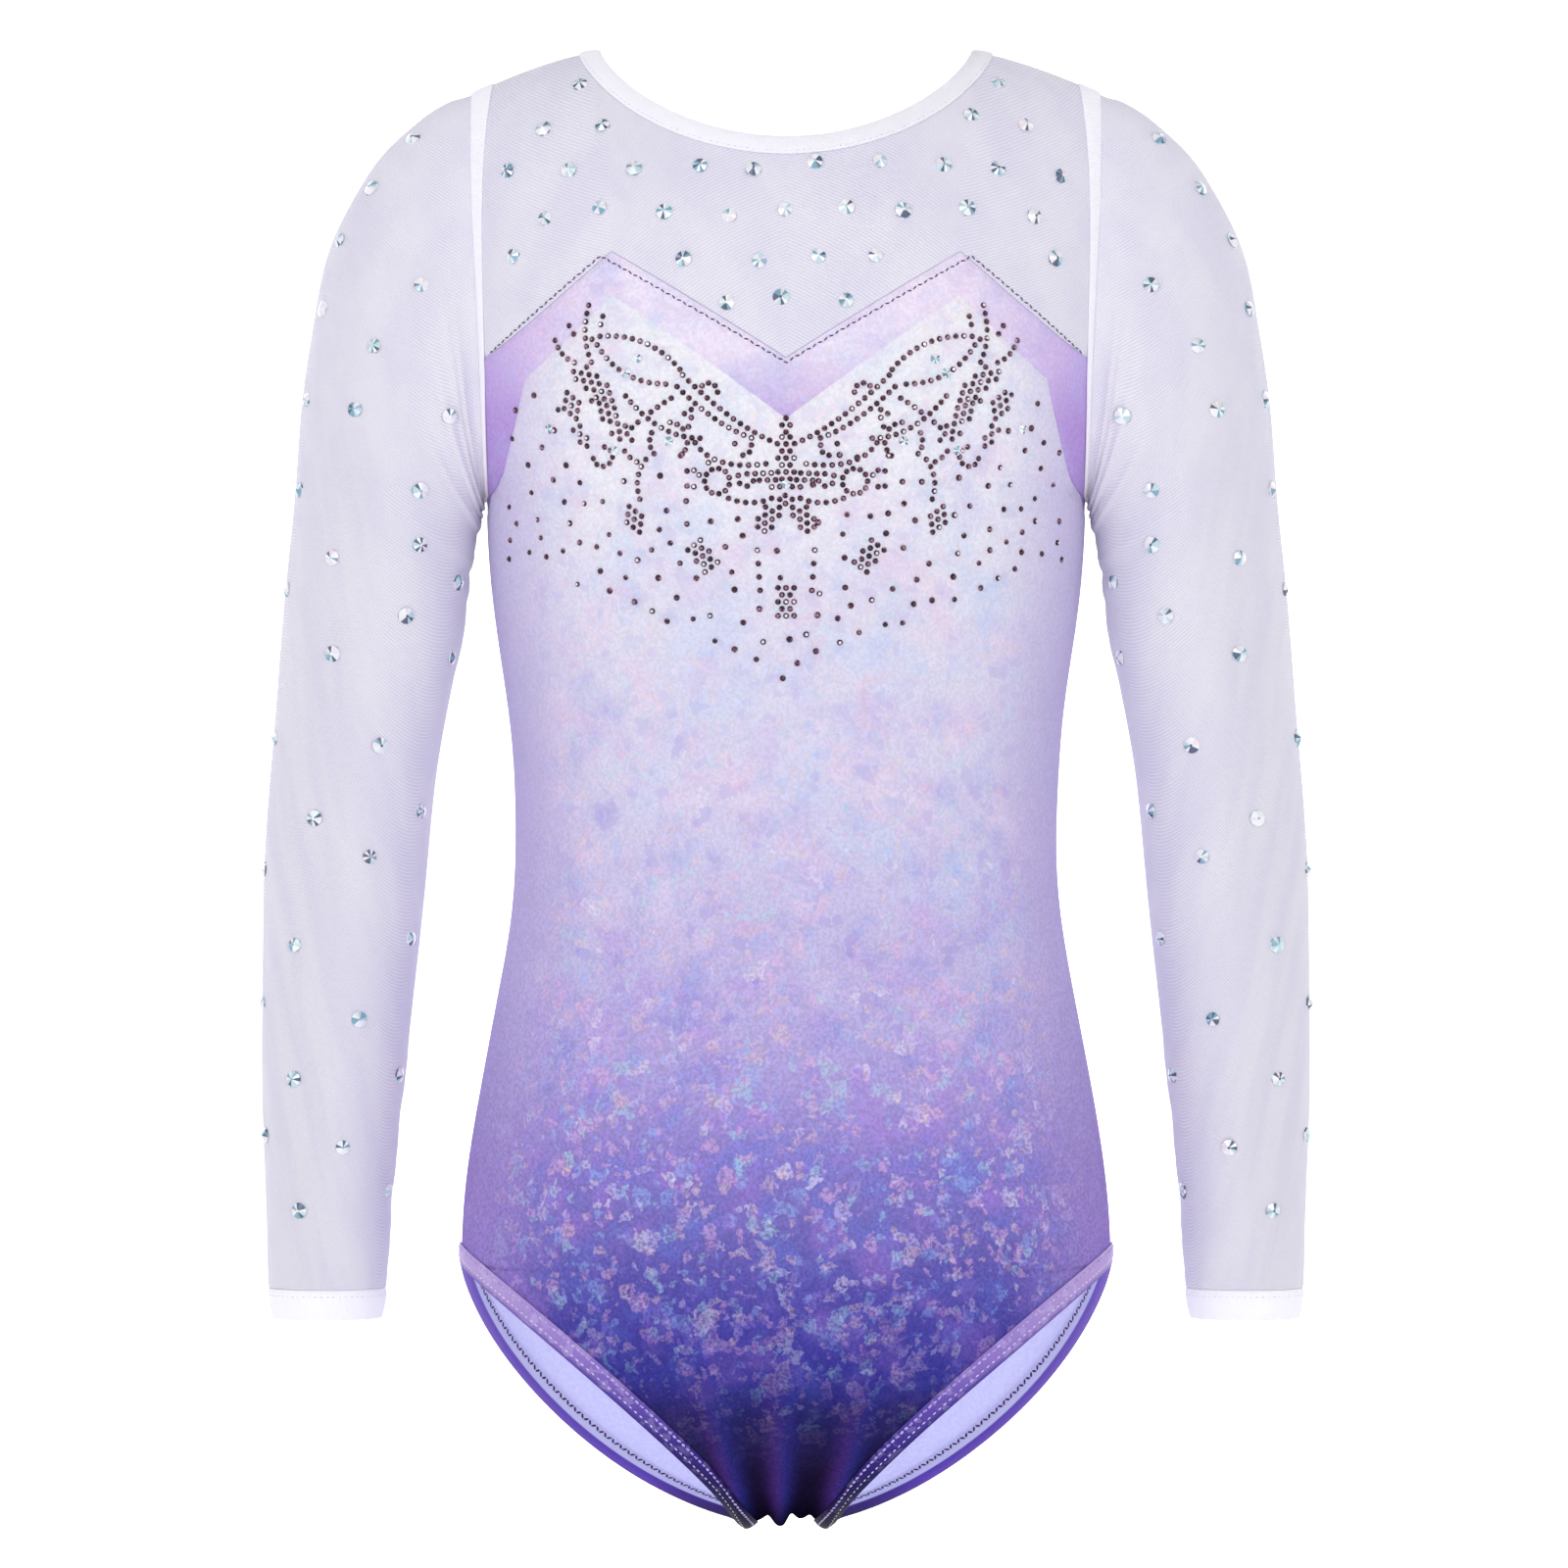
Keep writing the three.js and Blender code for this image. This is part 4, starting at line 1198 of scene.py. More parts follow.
# %% Seam allowances
ALLOWANCE = 5 * MM
seam_section = flat_band(-ALLOWANCE / 2, ALLOWANCE / 2, -1.2 * MM)
clear = 8.4 * MM
t = np.linspace(0, 1, 90)
side_z = blend_between(HIP_Z + clear, UNDERARM_Z - clear, t)
side_points = np.stack([half_width(side_z), 0 * t, side_z], -1)
shoulder_at = blend_between(NECK_HALF + clear, SHOULDER_HALF - clear, t)
shoulder_z = shoulder_line_z(shoulder_at / SHOULDER_HALF)
shoulder_points = np.stack([shoulder_at, 0 * t, shoulder_z], -1)
for side, turn_to_side in sides:
    for place, points in (("side", side_points), ("shoulder", shoulder_points)):
        make_strip(
            f"{side}_{place}_overlock", f"{side}_{place}_seam", turn_to_side(points),
            seam_section, False, 0.5 * MM, overlock, "seam_thread",
        )
across = CROTCH_HALF - 8.3 * MM
crotch_points = np.stack([blend_between(-across, across, t), 0 * t, 0 * t], -1)
crotch_points[:, 2] = 0.02 * MM
make_strip(
    "crotch_overlock", "crotch_seam", crotch_points, seam_section, False, 0.5 * MM,
    overlock, "seam_thread",
)

# %% Crotch lining
LINING_DEPTH = 3.3 * MM
angles = np.radians(np.linspace(-62, 58, 80))[:, None]
across = np.linspace(-1, 1, 40)
lining_z = HIP_Z * (1 - np.cos(angles))
reach = np.minimum(leg_half(lining_z, FRONT), leg_half(lining_z, BACK)) - 2.6 * MM
x, z = np.broadcast_arrays(reach * across, lining_z)
front_part = torso_point(x, z, FRONT)
back_part = torso_point(x, z, BACK)
lining_grid = np.where(angles[..., None] < 0, front_part, back_part)
outward = unit(torso_slope(lining_grid))
lining = cloth_sheet("crotch_lining_cloth", lift(lining_grid, -LINING_DEPTH + 0 * x), outward)
dress(lining, [brushed_lining, brushed_lining], "lining", "crotch_lining")
thicken(lining, 0.5 * MM)
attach(lining, "torso")
report_fit(lining, "crotch_lining")

# %% [markdown]
# ## Sleeves
# A sleeve is a row of ovals from the armhole to the wrist. Its outer and inner edges, and
# its depth, are smooth curves through a few given stations, as shares of the way down.
# The first oval is the armhole itself. Soft creases run out from the underarm and lie across
# the elbow and the wrist, because a sleeve on a hanging arm has cloth to spare there.

# %% Shape of a sleeve
OUTER_OUT = [0, 0.24, 0.48, 0.66, 0.77, 0.835, 0.89, 0.96, 1, 0.993, 0.966]
OUTER_DOWN = [0, 0.021, 0.066, 0.127, 0.211, 0.315, 0.434, 0.582, 0.728, 0.869, 1]
INNER_OUT = [0, 0.01, 0.02, 0.035, 0.065, 0.12, 0.22, 0.51, 0.67, 0.87, 1]
INNER_DOWN = [0, 0.005, 0.016, 0.03, 0.05, 0.085, 0.17, 0.37, 0.59, 0.8, 1]
FULLNESS = [0.7, 0.9, 1, 1, 0.97, 0.9, 0.81, 0.64, 0.51, 0.35, 0]
SLEEVE_SPREAD = 74.5 * MM
SEWN_GAP = 0.1 * MM
WRIST_HALF = 21 * MM
UPPER_ARM_DEPTH = 36.5 * MM
ARM_X = SHOULDER_HALF + SLEEVE_GAP
UNDERARM_X = UNDERARM_HALF + SLEEVE_GAP
WRIST_INNER_X = ARM_X + SLEEVE_SPREAD * OUTER_OUT[-1] - 2 * WRIST_HALF


def through(stations, share):
    """A smooth curve through evenly spaced stations (Catmull-Rom), at shares of its way."""
    stations = np.asarray(stations, float)
    last = len(stations) - 1
    spot = np.clip(share, 0, 1) * last
    i = np.minimum(spot.astype(int), last - 1)
    t = spot - i
    p0, p1 = stations[np.maximum(i - 1, 0)], stations[i]
    p2, p3 = stations[i + 1], stations[np.minimum(i + 2, last)]
    v0, v1 = (p2 - p0) / 2, (p3 - p1) / 2
    cubic, square = 2 * p1 - 2 * p2 + v0 + v1, 3 * p2 - 3 * p1 - 2 * v0 - v1
    return cubic * t**3 + square * t**2 + v0 * t + p1


def sleeve_oval(v, angle):
    """The left sleeve without creases. angle 0 is the outer edge, a quarter turn the front."""
    outer_x = ARM_X + SLEEVE_SPREAD * through(OUTER_OUT, v)
    outer_z = blend_between(SHOULDER_Z, WRIST_Z, through(OUTER_DOWN, v))
    inner_x = blend_between(UNDERARM_X, WRIST_INNER_X, through(INNER_OUT, v))
    inner_z = blend_between(UNDERARM_Z, WRIST_Z, through(INNER_DOWN, v))
    depths = blend_between(WRIST_HALF, UPPER_ARM_DEPTH, np.array(FULLNESS))
    depths[0] = ARMHOLE_DEPTH
    low = (SHOULDER_Z - WIDEST_Z) / (SHOULDER_Z - UNDERARM_Z)
    middle = blend_between(low, 0.5, np.minimum(1, v * 2))
    up = np.cos(angle)
    middle_x = blend_between(outer_x, inner_x, middle)
    middle_z = blend_between(outer_z, inner_z, middle)
    end_x, end_z = np.where(up > 0, outer_x, inner_x), np.where(up > 0, outer_z, inner_z)
    x = middle_x + (end_x - middle_x) * np.abs(up)
    z = middle_z + (end_z - middle_z) * np.abs(up)
    y = -through(depths, v) * np.sin(angle)
    at_armhole = half_width(z) + SEWN_GAP - x
    return np.stack([x + at_armhole * np.clip(1 - v / 0.04, 0, 1), y, z], -1)


def crease(v, angle, start, lean, width, height, reach=2.2):
    """One fold from the inner edge at start, leaning up the sleeve by lean per radian."""
    away = np.abs(np.pi - np.mod(angle, 2 * np.pi))
    off = v - (start - lean * away)
    fade = np.clip(1 - (away / reach) ** 2, 0, 1)
    return height * np.exp(-((off / width) ** 2)) * fade


def sleeve_creases(v, angle):
    front = np.where(np.sin(angle) > 0, 1.0, 0.0)
    high = 0
    for start, lean, width, height in (
        (0.13, 0.035, 0.012, 1.5), (0.19, 0.050, 0.014, 1.2), (0.26, 0.055, 0.016, 0.9),
        (0.36, 0.040, 0.018, 0.6), (0.49, 0.012, 0.014, 0.8), (0.54, -0.014, 0.013, 0.7),
        (0.60, -0.020, 0.016, 0.5), (0.86, 0.010, 0.010, 0.45), (0.91, -0.010, 0.009, 0.5),
        (0.955, 0.008, 0.008, 0.45),
    ):
        shift = 0.012 * front
        high = high + crease(v, angle, start + shift, lean, width, height * MM)
        high = high - 0.5 * crease(v, angle, start + shift + 0.022, lean, width, height * MM)
    high = high * 0.75
    slack = 0.5 * MM * np.sin(14 * v + 2 * angle) * np.sin(31 * v + 1.3)
    ends = np.clip(v / 0.05, 0, 1) * np.clip((1 - v) / 0.03, 0, 1)
    return (high + slack) * ends


def sleeve_outward(v, angle):
    """Straight out of the sleeve, from the slopes of its surface."""
    step = 1e-4
    nv = np.clip(v, 0.005, 1 - step)
    along = sleeve_oval(nv + step, angle) - sleeve_oval(nv - step, angle)
    round_it = sleeve_oval(nv, angle + step) - sleeve_oval(nv, angle - step)
    return unit(np.cross(round_it, along))


def sleeve_point(v, angle, height=0.0):
    v, angle = np.broadcast_arrays(np.asarray(v, float), np.asarray(angle, float))
    high = sleeve_creases(v, angle) + height
    return sleeve_oval(v, angle) + sleeve_outward(v, angle) * high[..., None]


# %% [markdown]
# A sleeve has to follow its arm when the arm is raised, while its sewn edge stays on the
# torso. Here the sleeve, its seam and its crystals are only baked in place and don't follow
# the arm; the cuffs and their stitching are parented to the arm.

# %% Sleeves, their seams and cuffs
MESH_PLY = 0.35 * MM
SLEEVE_STEPS = 110
SLEEVE_ROWS = 200
CUFF_DEPTH = 10.5 * MM
CUFF_TAPER = 1.5 * MM
cuff_x = WRIST_INNER_X + WRIST_HALF


def flip(point, side):
    return (point[0] * (1 if side == "left" else -1), *point[1:])


def hang_on_arm(piece):
    """Moves the placement of a piece of the sleeve into its mesh; it does not bend it."""
    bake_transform(piece)
    return piece


def on_side(points, side):
    return points if side == "left" else mirrored(points)


def cuff_ring(profile, steps=96):
    """A ring round the wrist from a profile of (radius inside the wrist's, height) points."""
    turn = 2 * np.pi * np.arange(steps) / steps
    inset, z = (np.array(values)[:, None] for values in zip(*profile))
    x = cuff_x + (WRIST_HALF - inset) * np.cos(turn)
    y = -(WRIST_HALF - inset) * np.sin(turn)
    facing = np.stack([np.cos(turn) + 0 * inset, -np.sin(turn) + 0 * inset, 0 * x], -1)
    return np.stack([x, y, z + 0 * x], -1), facing


def cuff_profile():
    """Down the outside from the seam, round the fold and up again inside."""
    top = WRIST_Z - 0.4 * MM
    low = top - CUFF_DEPTH + 0.6 * MM
    down = np.linspace(0, 1, 12)
    outside = [
        (CUFF_TAPER * s - 0.35 * MM * math.sin(math.pi * s), top + (low - top) * s) for s in down
    ]
    outside[0] = (0.45 * MM, top)
    turn = np.linspace(0, math.pi, 7)[1:-1]
    radius = 0.5 * MM
    fold = [(CUFF_TAPER + radius - radius * math.cos(a), low - radius * math.sin(a)) for a in turn]
    inside = [(CUFF_TAPER * s + 2 * radius, top + (low - top) * s) for s in down[::-1]]
    return outside + fold + inside


v_rows = np.linspace(0, 1, SLEEVE_ROWS)[:, None]
turns = 2 * np.pi * np.arange(SLEEVE_STEPS)[None] / SLEEVE_STEPS
for side in ("left", "right"):
    tube = cloth_sheet(
        side + "_sleeve_net", on_side(sleeve_point(v_rows, turns), side),
        on_side(sleeve_outward(v_rows + 0 * turns, turns + 0 * v_rows), side), ring=True,
    )
    dress(tube, [power_mesh, power_mesh], "power_mesh", side + "_sleeve")
    thicken(tube, MESH_PLY)
    hang_on_arm(tube)
    report_fit(tube, side + "_sleeve")

    seam_v = np.linspace(0.05, 0.985, 160)[:, None]
    around_seam = np.linspace(-1, 1, 5)[None] * 0.085 + np.pi
    seam_grid = sleeve_point(seam_v, around_seam, -0.75 * MM)
    seam_facing = sleeve_outward(seam_v + 0 * around_seam, around_seam + 0 * seam_v)
    seam = cloth_sheet(
        side + "_sleeve_overlock", on_side(seam_grid, side), on_side(seam_facing, side)
    )
    dress(seam, [overlock, overlock], "seam_thread", side + "_sleeve_seam")
    thicken(seam, 0.4 * MM, offset=0.0)
    hang_on_arm(seam)

    grid, facing = cuff_ring(cuff_profile())
    cuff = cloth_sheet(side + "_cuff_fold", on_side(grid, side), on_side(facing, side), ring=True)
    dress(cuff, [white_jersey, white_jersey], "white_trim", side + "_cuff")
    thicken(cuff, 0.45 * MM, offset=0.0)
    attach(cuff, side + "_sleeve_arm")
    report_fit(cuff, side + "_cuff")

# %% [markdown]
# ## Stitches
# A sewn thread is a row of short raised beads. One bead is modelled, a small sphere drawn
# out along the thread, and copied along each line at an even pitch into one mesh for each
# row. It keeps to twenty faces, because there are some thousands of them.

# %% One stitch and copies of it
def model_stitch():
    deselect_all()
    bpy.ops.mesh.primitive_ico_sphere_add(subdivisions=1, radius=0.5)
    stitch = bpy.context.object
    stitch.name = "one_stitch"
    bpy.ops.object.mode_set(mode="EDIT")
    bpy.ops.mesh.select_all(action="SELECT")
    bpy.ops.transform.resize(value=(1.0, 1.0, 0.8))
    bpy.ops.object.mode_set(mode="OBJECT")
    return stitch


def take_model(model):
    """The points and faces of a model in a fixed order, since edit mode may shuffle them."""
    points = np.array([v.co for v in model.data.vertices])
    order = np.lexsort(np.round(points, 5).T)
    points, rank = points[order], np.argsort(order)
    faces = [rank[list(face.vertices)] for face in model.data.polygons]
    faces = sorted(tuple(np.roll(face, -face.argmin()).tolist()) for face in faces)
    bpy.data.objects.remove(model)
    return points, faces


def copy_along(name, model, places, along, outward, size):
    """One mesh with a copy of the model at each place. size is (length, width, height)."""
    points, faces = model
    along = unit(along - outward * (along * outward).sum(-1, keepdims=True))
    sideways = np.cross(outward, along)
    sizes = np.broadcast_to(size, (len(places), 3))
    local = points[None] * sizes[:, None]
    spread = (
        places[:, None]
        + local[..., :1] * along[:, None]
        + local[..., 1:2] * sideways[:, None]
        + local[..., 2:] * outward[:, None]
    )
    count = len(points)
    all_faces = [tuple(i + n * count for i in face) for n in range(len(places)) for face in faces]
    mesh = bpy.data.meshes.new(name)
    mesh.from_pydata(spread.reshape(-1, 3).tolist(), [], all_faces)
    piece = bpy.data.objects.new(name, mesh)
    bpy.context.scene.collection.objects.link(piece)
    return piece


def evenly(points, pitch, closed):
    """Places at an even pitch along a line of points, with the direction at each."""
    if closed:
        points = np.concatenate([points, points[:1]])
    run = np.concatenate([[0], np.cumsum(np.linalg.norm(np.diff(points, axis=0), axis=-1))])
    count = max(2, round(run[-1] / pitch))
    at = (np.arange(count) + 0.5) * run[-1] / count
    places = np.stack([np.interp(at, run, points[:, k]) for k in range(3)], -1)
    ahead = np.stack([np.interp(at + pitch / 4, run, points[:, k]) for k in range(3)], -1)
    behind = np.stack([np.interp(at - pitch / 4, run, points[:, k]) for k in range(3)], -1)
    return places, ahead - behind


def inside_line(points, distance, closed):
    """The line that runs at a distance in from a line on the torso."""
    _, inward = strip_frame(points, closed)
    return onto_torso(points + inward * distance)


def thread_finish(name, light, dark, roughness=0.5):
    material, shader = new_finish(name, roughness)
    twist = add_node(material, "TexNoise", Vector=own_place(material), Scale=900.0, Detail=2.0)
    share = span(material, twist.outputs["Fac"], 0.35, 0.65)
    colour = mix_colours(material, share, linear(*dark), linear(*light))
    feed(material, colour, shader.inputs["Base Color"])
    put_bump(material, shader, twist.outputs["Fac"], 0.1 * MM)
    return material


lilac_thread = thread_finish("lilac_thread", (206, 188, 240), (150, 126, 206))
plum_thread = thread_finish("plum_thread", (92, 52, 118), (54, 26, 76))
white_thread = thread_finish("white_thread", (250, 249, 255), (222, 220, 238))
stitch = take_model(model_stitch())


def sew(name, points, closed, pitch, size, height, finish, zigzag=0.0):
    """A row of stitches at a height above the cloth of the torso."""
    places, along = evenly(points, pitch, closed)
    outward = unit(torso_slope(places))
    turn = np.where(np.arange(len(places)) % 2, 1, -1)[:, None] * zigzag
    along = unit(along) + np.cross(outward, unit(along)) * turn
    raised = lift(places, height + 0 * places[:, 0])
    row = copy_along(name, stitch, raised, along, outward, size)
    dress(row, [finish], "seam_thread")
    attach(row, "torso")
    print(name, len(places), "stitches")


# %% Rows of stitches
upper_shares = np.sin(np.linspace(-1, 1, 241) * math.asin(0.965))
edge_z = upper_line(np.abs(upper_shares)) - 1.7 * MM
edge_points = torso_point(upper_shares * half_width(edge_z), edge_z, FRONT)
sew("band_topstitch", edge_points, False, 2.3 * MM, np.array((2.0, 0.6, 0.4)) * MM, 0.08 * MM,
    plum_thread, zigzag=0.35)
sew("neck_stitching", inside_line(neck_points, 6.9 * MM, True), True, 2.2 * MM,
    np.array((1.7, 0.5, 0.4)) * MM, 0.86 * MM, white_thread)
for side, turn_to_side in sides:
    points = turn_to_side(leg_points)
    sew(side + "_hem_coverstitch", inside_line(points, 6.6 * MM, True), True, 2.3 * MM,
        np.array((2.0, 1.1, 0.6)) * MM, 0.85 * MM, lilac_thread, zigzag=0.15)
    sew(side + "_hem_topstitch", inside_line(points, 3.3 * MM, True), True, 2.5 * MM,
        np.array((1.5, 0.45, 0.4)) * MM, 0.98 * MM, white_thread)
    sew(side + "_hem_inside_stitch", inside_line(points, 5.8 * MM, True), True, 1.9 * MM,
        np.array((2.4, 1.0, 0.6)) * MM, -2.5 * MM, plum_thread, zigzag=1.3)
wrist_turn = 2 * np.pi * np.arange(240) / 240
cuff_line = np.stack(
    [
        cuff_x + (WRIST_HALF + 0.15 * MM) * np.cos(wrist_turn),
        -(WRIST_HALF + 0.15 * MM) * np.sin(wrist_turn), 0 * wrist_turn + WRIST_Z - 2.6 * MM,
    ], -1,
)
for side in ("left", "right"):
    places, along = evenly(on_side(cuff_line, side), 2.2 * MM, True)
    outward = unit((places - np.array(flip((cuff_x, 0, 0), side))) * (1, 1, 0))
    row = copy_along(
        side + "_cuff_stitching", stitch, places, along, outward, np.array((1.6, 0.5, 0.4)) * MM
    )
    dress(row, [white_thread], "seam_thread")
    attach(row, side + "_sleeve_arm")

# %% [markdown]
# ## Stones
# The chest carries a swag of small plum stones, and single pearl-coloured crystals are
# scattered over the yokes and sleeves. A stone is a cut dome: a cone whose top is cut off as
# a table, on a short straight girdle. A swag stone has eight sides and a wide table, and a
# crystal has twelve and almost comes to a point. Each is turned a little differently, and
# each of its faces takes a colour at random from the glass's own colours, painted highlights
# and, on crystals, painted reflections; the tables take the painted highlights most often.

# %% One stone
def model_stone(sides, table, rise):
    """A stone one unit wide that stands on its base at the origin."""
    deselect_all()
    bpy.ops.mesh.primitive_cone_add(
        vertices=sides, radius1=0.5, radius2=table, depth=rise, location=(0, 0, 0.1 + rise / 2)
    )
    stone = bpy.context.object
    stone.name = "one_stone"
    place_in_mesh(stone)
    edit_faces(stone, lambda face: face.normal.z < -0.9)
    bpy.ops.mesh.extrude_region_move(TRANSFORM_OT_translate={"value": (0, 0, -0.1)})
    bpy.ops.mesh.select_all(action="SELECT")
    bpy.ops.mesh.remove_doubles(threshold=1e-4)
    bpy.ops.mesh.normals_make_consistent(inside=False)
    bpy.ops.object.mode_set(mode="OBJECT")
    return stone


def stone_finish(name, tints_and_glints, roughness, metallic):
    """Cut glass on foil. Each face of a stone takes a colour of the ramp by its own random number:
    the glass's own colours, painted highlights and painted reflections.
    """
    material, shader = new_finish(name, roughness, metallic)
    facet_tint_and_glint = own_value(material, "facet_tint_and_glint")
    feed(material, colour_steps(material, facet_tint_and_glint, tints_and_glints, sharp=True), shader.inputs["Base Color"])
    shader.inputs["Coat Weight"].default_value = 0.25
    shader.inputs["Coat Roughness"].default_value = 0.04
    shader.inputs["Specular IOR Level"].default_value = 0.5
    return material


# The two lightest plum colours are painted highlights; the darker ones are the glass.
plum_glass = stone_finish(
    "plum_glass",
    [
        (0.0, (34, 10, 22)), (0.3, (60, 24, 42)), (0.52, (100, 56, 78)),
        (0.74, (164, 122, 142)), (0.9, (246, 234, 244)), (1.0, (246, 234, 244)),
    ], roughness=0.2, metallic=0.3,
)
# Crystal colours: teal and pink are the tint of the crystals' coating; the whites, the dark slate
# and the silvery blue are painted reflections.
pearl_glass = stone_finish(
    "pearl_glass",
    [
        (0.0, (246, 250, 255)), (0.2, (130, 178, 196)), (0.32, (250, 236, 242)),
        (0.44, (92, 104, 128)), (0.56, (200, 228, 234)), (0.7, (255, 255, 255)),
        (0.86, (168, 184, 214)), (1.0, (168, 184, 214)),
    ], roughness=0.25, metallic=0.15,
)
dark_stone = take_model(model_stone(8, 0.25, 0.26))
crystal = take_model(model_stone(12, 0.09, 0.17))
facets = np.random.default_rng(11)


def set_stones(name, model, places, outward, sizes, finish, slot_name="foil"):
    """Stones on the cloth, each turned at random about its own outward direction."""
    points, faces = model
    table_height = points[:, 2].max() - 1e-4
    table_faces = [all(points[i, 2] > table_height for i in face) for face in faces]
    level = np.cross(outward, (0.0, 1.0, 0.3))
    turn = facets.uniform(0, 2 * np.pi, len(places))[:, None]
    along = unit(level) * np.cos(turn) + np.cross(outward, unit(level)) * np.sin(turn)
    tilted = unit(outward + facets.normal(0, 0.05, outward.shape))
    cubes = np.asarray(sizes)[:, None] * np.ones(3)
    stones = copy_along(name, model, places, along, tilted, cubes)
    tints_and_glints = facets.uniform(0, 1, len(stones.data.polygons)).astype(np.float32)
    on_table = np.tile(table_faces, len(places))
    # Table faces are pushed towards the light end of the ramp, a painted highlight on top of each
    # stone.
    tints_and_glints = np.where(on_table, 0.35 + 0.65 * tints_and_glints, 0.88 * tints_and_glints).astype(np.float32)
    stones.data.attributes.new("facet_tint_and_glint", "FLOAT", "FACE").data.foreach_set("value", tints_and_glints)
    dress(stones, [finish], slot_name)
    print(name, len(places), "stones")
    return stones


# %% [markdown]
# ## The swag
# The pattern is drawn as a jeweller would lay it out, for one half, and mirrored: garlands
# from a flower in the middle, scrolls on them, leaves that hang below, and a spray and a
# wing of packed stones towards each armhole. Single stones thin out downwards to a point.

# %% Lines of the swag
STONE = 2.1 * MM
STONE_PITCH = 2.95 * MM
RING_PITCH = 2.6
CLUSTER_PITCH = 2.8


def spaced(points, pitch=STONE_PITCH):
    """Places at an even pitch along a flat line, first point included."""
    points = np.asarray(points, float)
    run = np.concatenate([[0], np.cumsum(np.hypot(*np.diff(points, axis=0).T))])
    at = np.linspace(0, run[-1], max(2, round(run[-1] / pitch) + 1))
    return np.stack([np.interp(at, run, points[:, 0]), np.interp(at, run, points[:, 1])], -1)


def bow(start, through_point, end, count=40):
    """A curve from start to end that is pulled towards a third point."""
    t = np.linspace(0, 1, count)[:, None]
    start, middle, end = (np.array(p) * MM for p in (start, through_point, end))
    return (1 - t) ** 2 * start + 2 * t * (1 - t) * middle + t**2 * end


def ring_of(centre, radius, start=0, turn=360):
    """Stones on a circle, or on a part of one."""
    steps = max(3, round(radius * math.radians(turn) / RING_PITCH))
    angle = np.radians(start + np.linspace(0, turn, steps + 1))
    return np.array(centre) * MM + radius * MM * np.stack([np.cos(angle), np.sin(angle)], -1)


def cluster(centre, length, width, lean):
    """Stones packed side by side inside a leaf, whose long way leans from upright."""
    found = []
    for row in range(-7, 8):
        for k in range(-7, 8):
            along, out = row * CLUSTER_PITCH * 0.87, (k + 0.5 * (row % 2)) * CLUSTER_PITCH
            if (along / length) ** 2 + (out / width) ** 2 <= 1:
                a = math.radians(lean)
                x = centre[0] + out * math.cos(a) - along * math.sin(a)
                found.append((x, centre[1] + out * math.sin(a) + along * math.cos(a)))
    return np.array(found) * MM


half_swag = [
    # the garland from the flower to the eye-shaped leaf, in two strands
    spaced(bow((3, 382), (18, 388), (36, 406))), spaced(bow((12, 384), (24, 388), (38, 402))),
    spaced(bow((37, 408), (48, 421), (65, 420))), spaced(bow((39, 403), (57, 402), (66, 417))),
    ring_of((27, 400), 3.2), cluster((21, 391), 4.5, 3, 60),
    # the spray above it
    spaced(bow((68, 411), (72, 420), (69, 431))), spaced(bow((69, 417), (74, 419), (76, 424))),
    spaced(bow((70, 417), (65, 421), (64, 427))), spaced(bow((74, 411), (79, 413), (81, 419))),
    # the wing
    cluster((68, 404), 11.5, 3.4, -48), cluster((75, 396), 6.5, 3.6, -20),
    cluster((62, 393), 10, 3.2, -42), cluster((72, 386), 6, 2.6, -30),
    spaced(bow((30, 384), (44, 384), (56, 399))), spaced(bow((40, 398), (50, 392), (58, 384))),
    cluster((33, 394), 3.6, 2.6, 30), cluster((58, 386), 6, 3, -60),
    # the scrolls
    ring_of((15, 381), 3.0, 20, 250), ring_of((64, 378), 3.4, 100, 250),
    ring_of((41, 383), 6.6, -40, 270), ring_of((24, 369), 4.4),
    ring_of((33, 370), 3.0, 60, 240), spaced(bow((34, 388), (30, 372), (7, 375))),
    spaced(bow((47, 379), (54, 372), (51, 363))), spaced(bow((20, 363), (12, 360), (5, 363))),
    spaced(bow((55, 388), (60, 380), (52, 376))),
    # leaves that hang from them
    cluster((53, 356), 6.4, 4.2, -22), cluster((29, 343), 6.8, 4.2, -38),
    spaced([(10 * MM, 345 * MM), (9 * MM, 331 * MM)], 4.2 * MM),
]
petals = [
    cluster((9 * math.cos(a), 367 + 10 * math.sin(a)), 8.6, 4.0, math.degrees(a) - 90)
    for a in np.radians((90, 28, 152, -58, 238))
]
petals += [cluster((0, 386), 5, 2.6, 0)]
petals += [cluster((side * 14, 370), 5, 3, 90 - side * 10) for side in (1, -1)]
flower_heart = ring_of((0, 368), 2.6)
middle_leaf = cluster((0, 327), 6.8, 4.2, 0)

swag = np.concatenate(half_swag)
swag = np.concatenate([swag, swag * (-1, 1), *petals, flower_heart, middle_leaf])


def far_enough(places, gap):
    """Drops every place that is nearer than gap to one already kept."""
    kept = []
    for place in places:
        if all(np.linalg.norm(place - other) >= gap for other in kept):
            kept.append(place)
    return np.array(kept)


SWAG_GAP = 2.0 * MM
LOOSE_GAP = 6.0 * MM
swag = far_enough(swag, SWAG_GAP)
drops = np.random.default_rng(5)
loose = drops.uniform((-1, 0), (1, 1), (900, 2))
low_edge = 297 + 46 * np.abs(loose[:, 0]) ** 0.8
loose = np.stack([loose[:, 0] * 98, low_edge + loose[:, 1] ** 1.3 * (400 - low_edge)], -1) * MM
scatter = far_enough(np.concatenate([swag[::2], loose]), LOOSE_GAP)
scatter = np.array([p for p in loose if (np.hypot(*(scatter - p).T) < 1e-9).any()])
below_band = lower_line(np.abs(scatter[:, 0]) / half_width(scatter[:, 1])) - 3 * MM
scatter = scatter[scatter[:, 1] < below_band]
print("swag", len(swag), "loose", len(scatter))


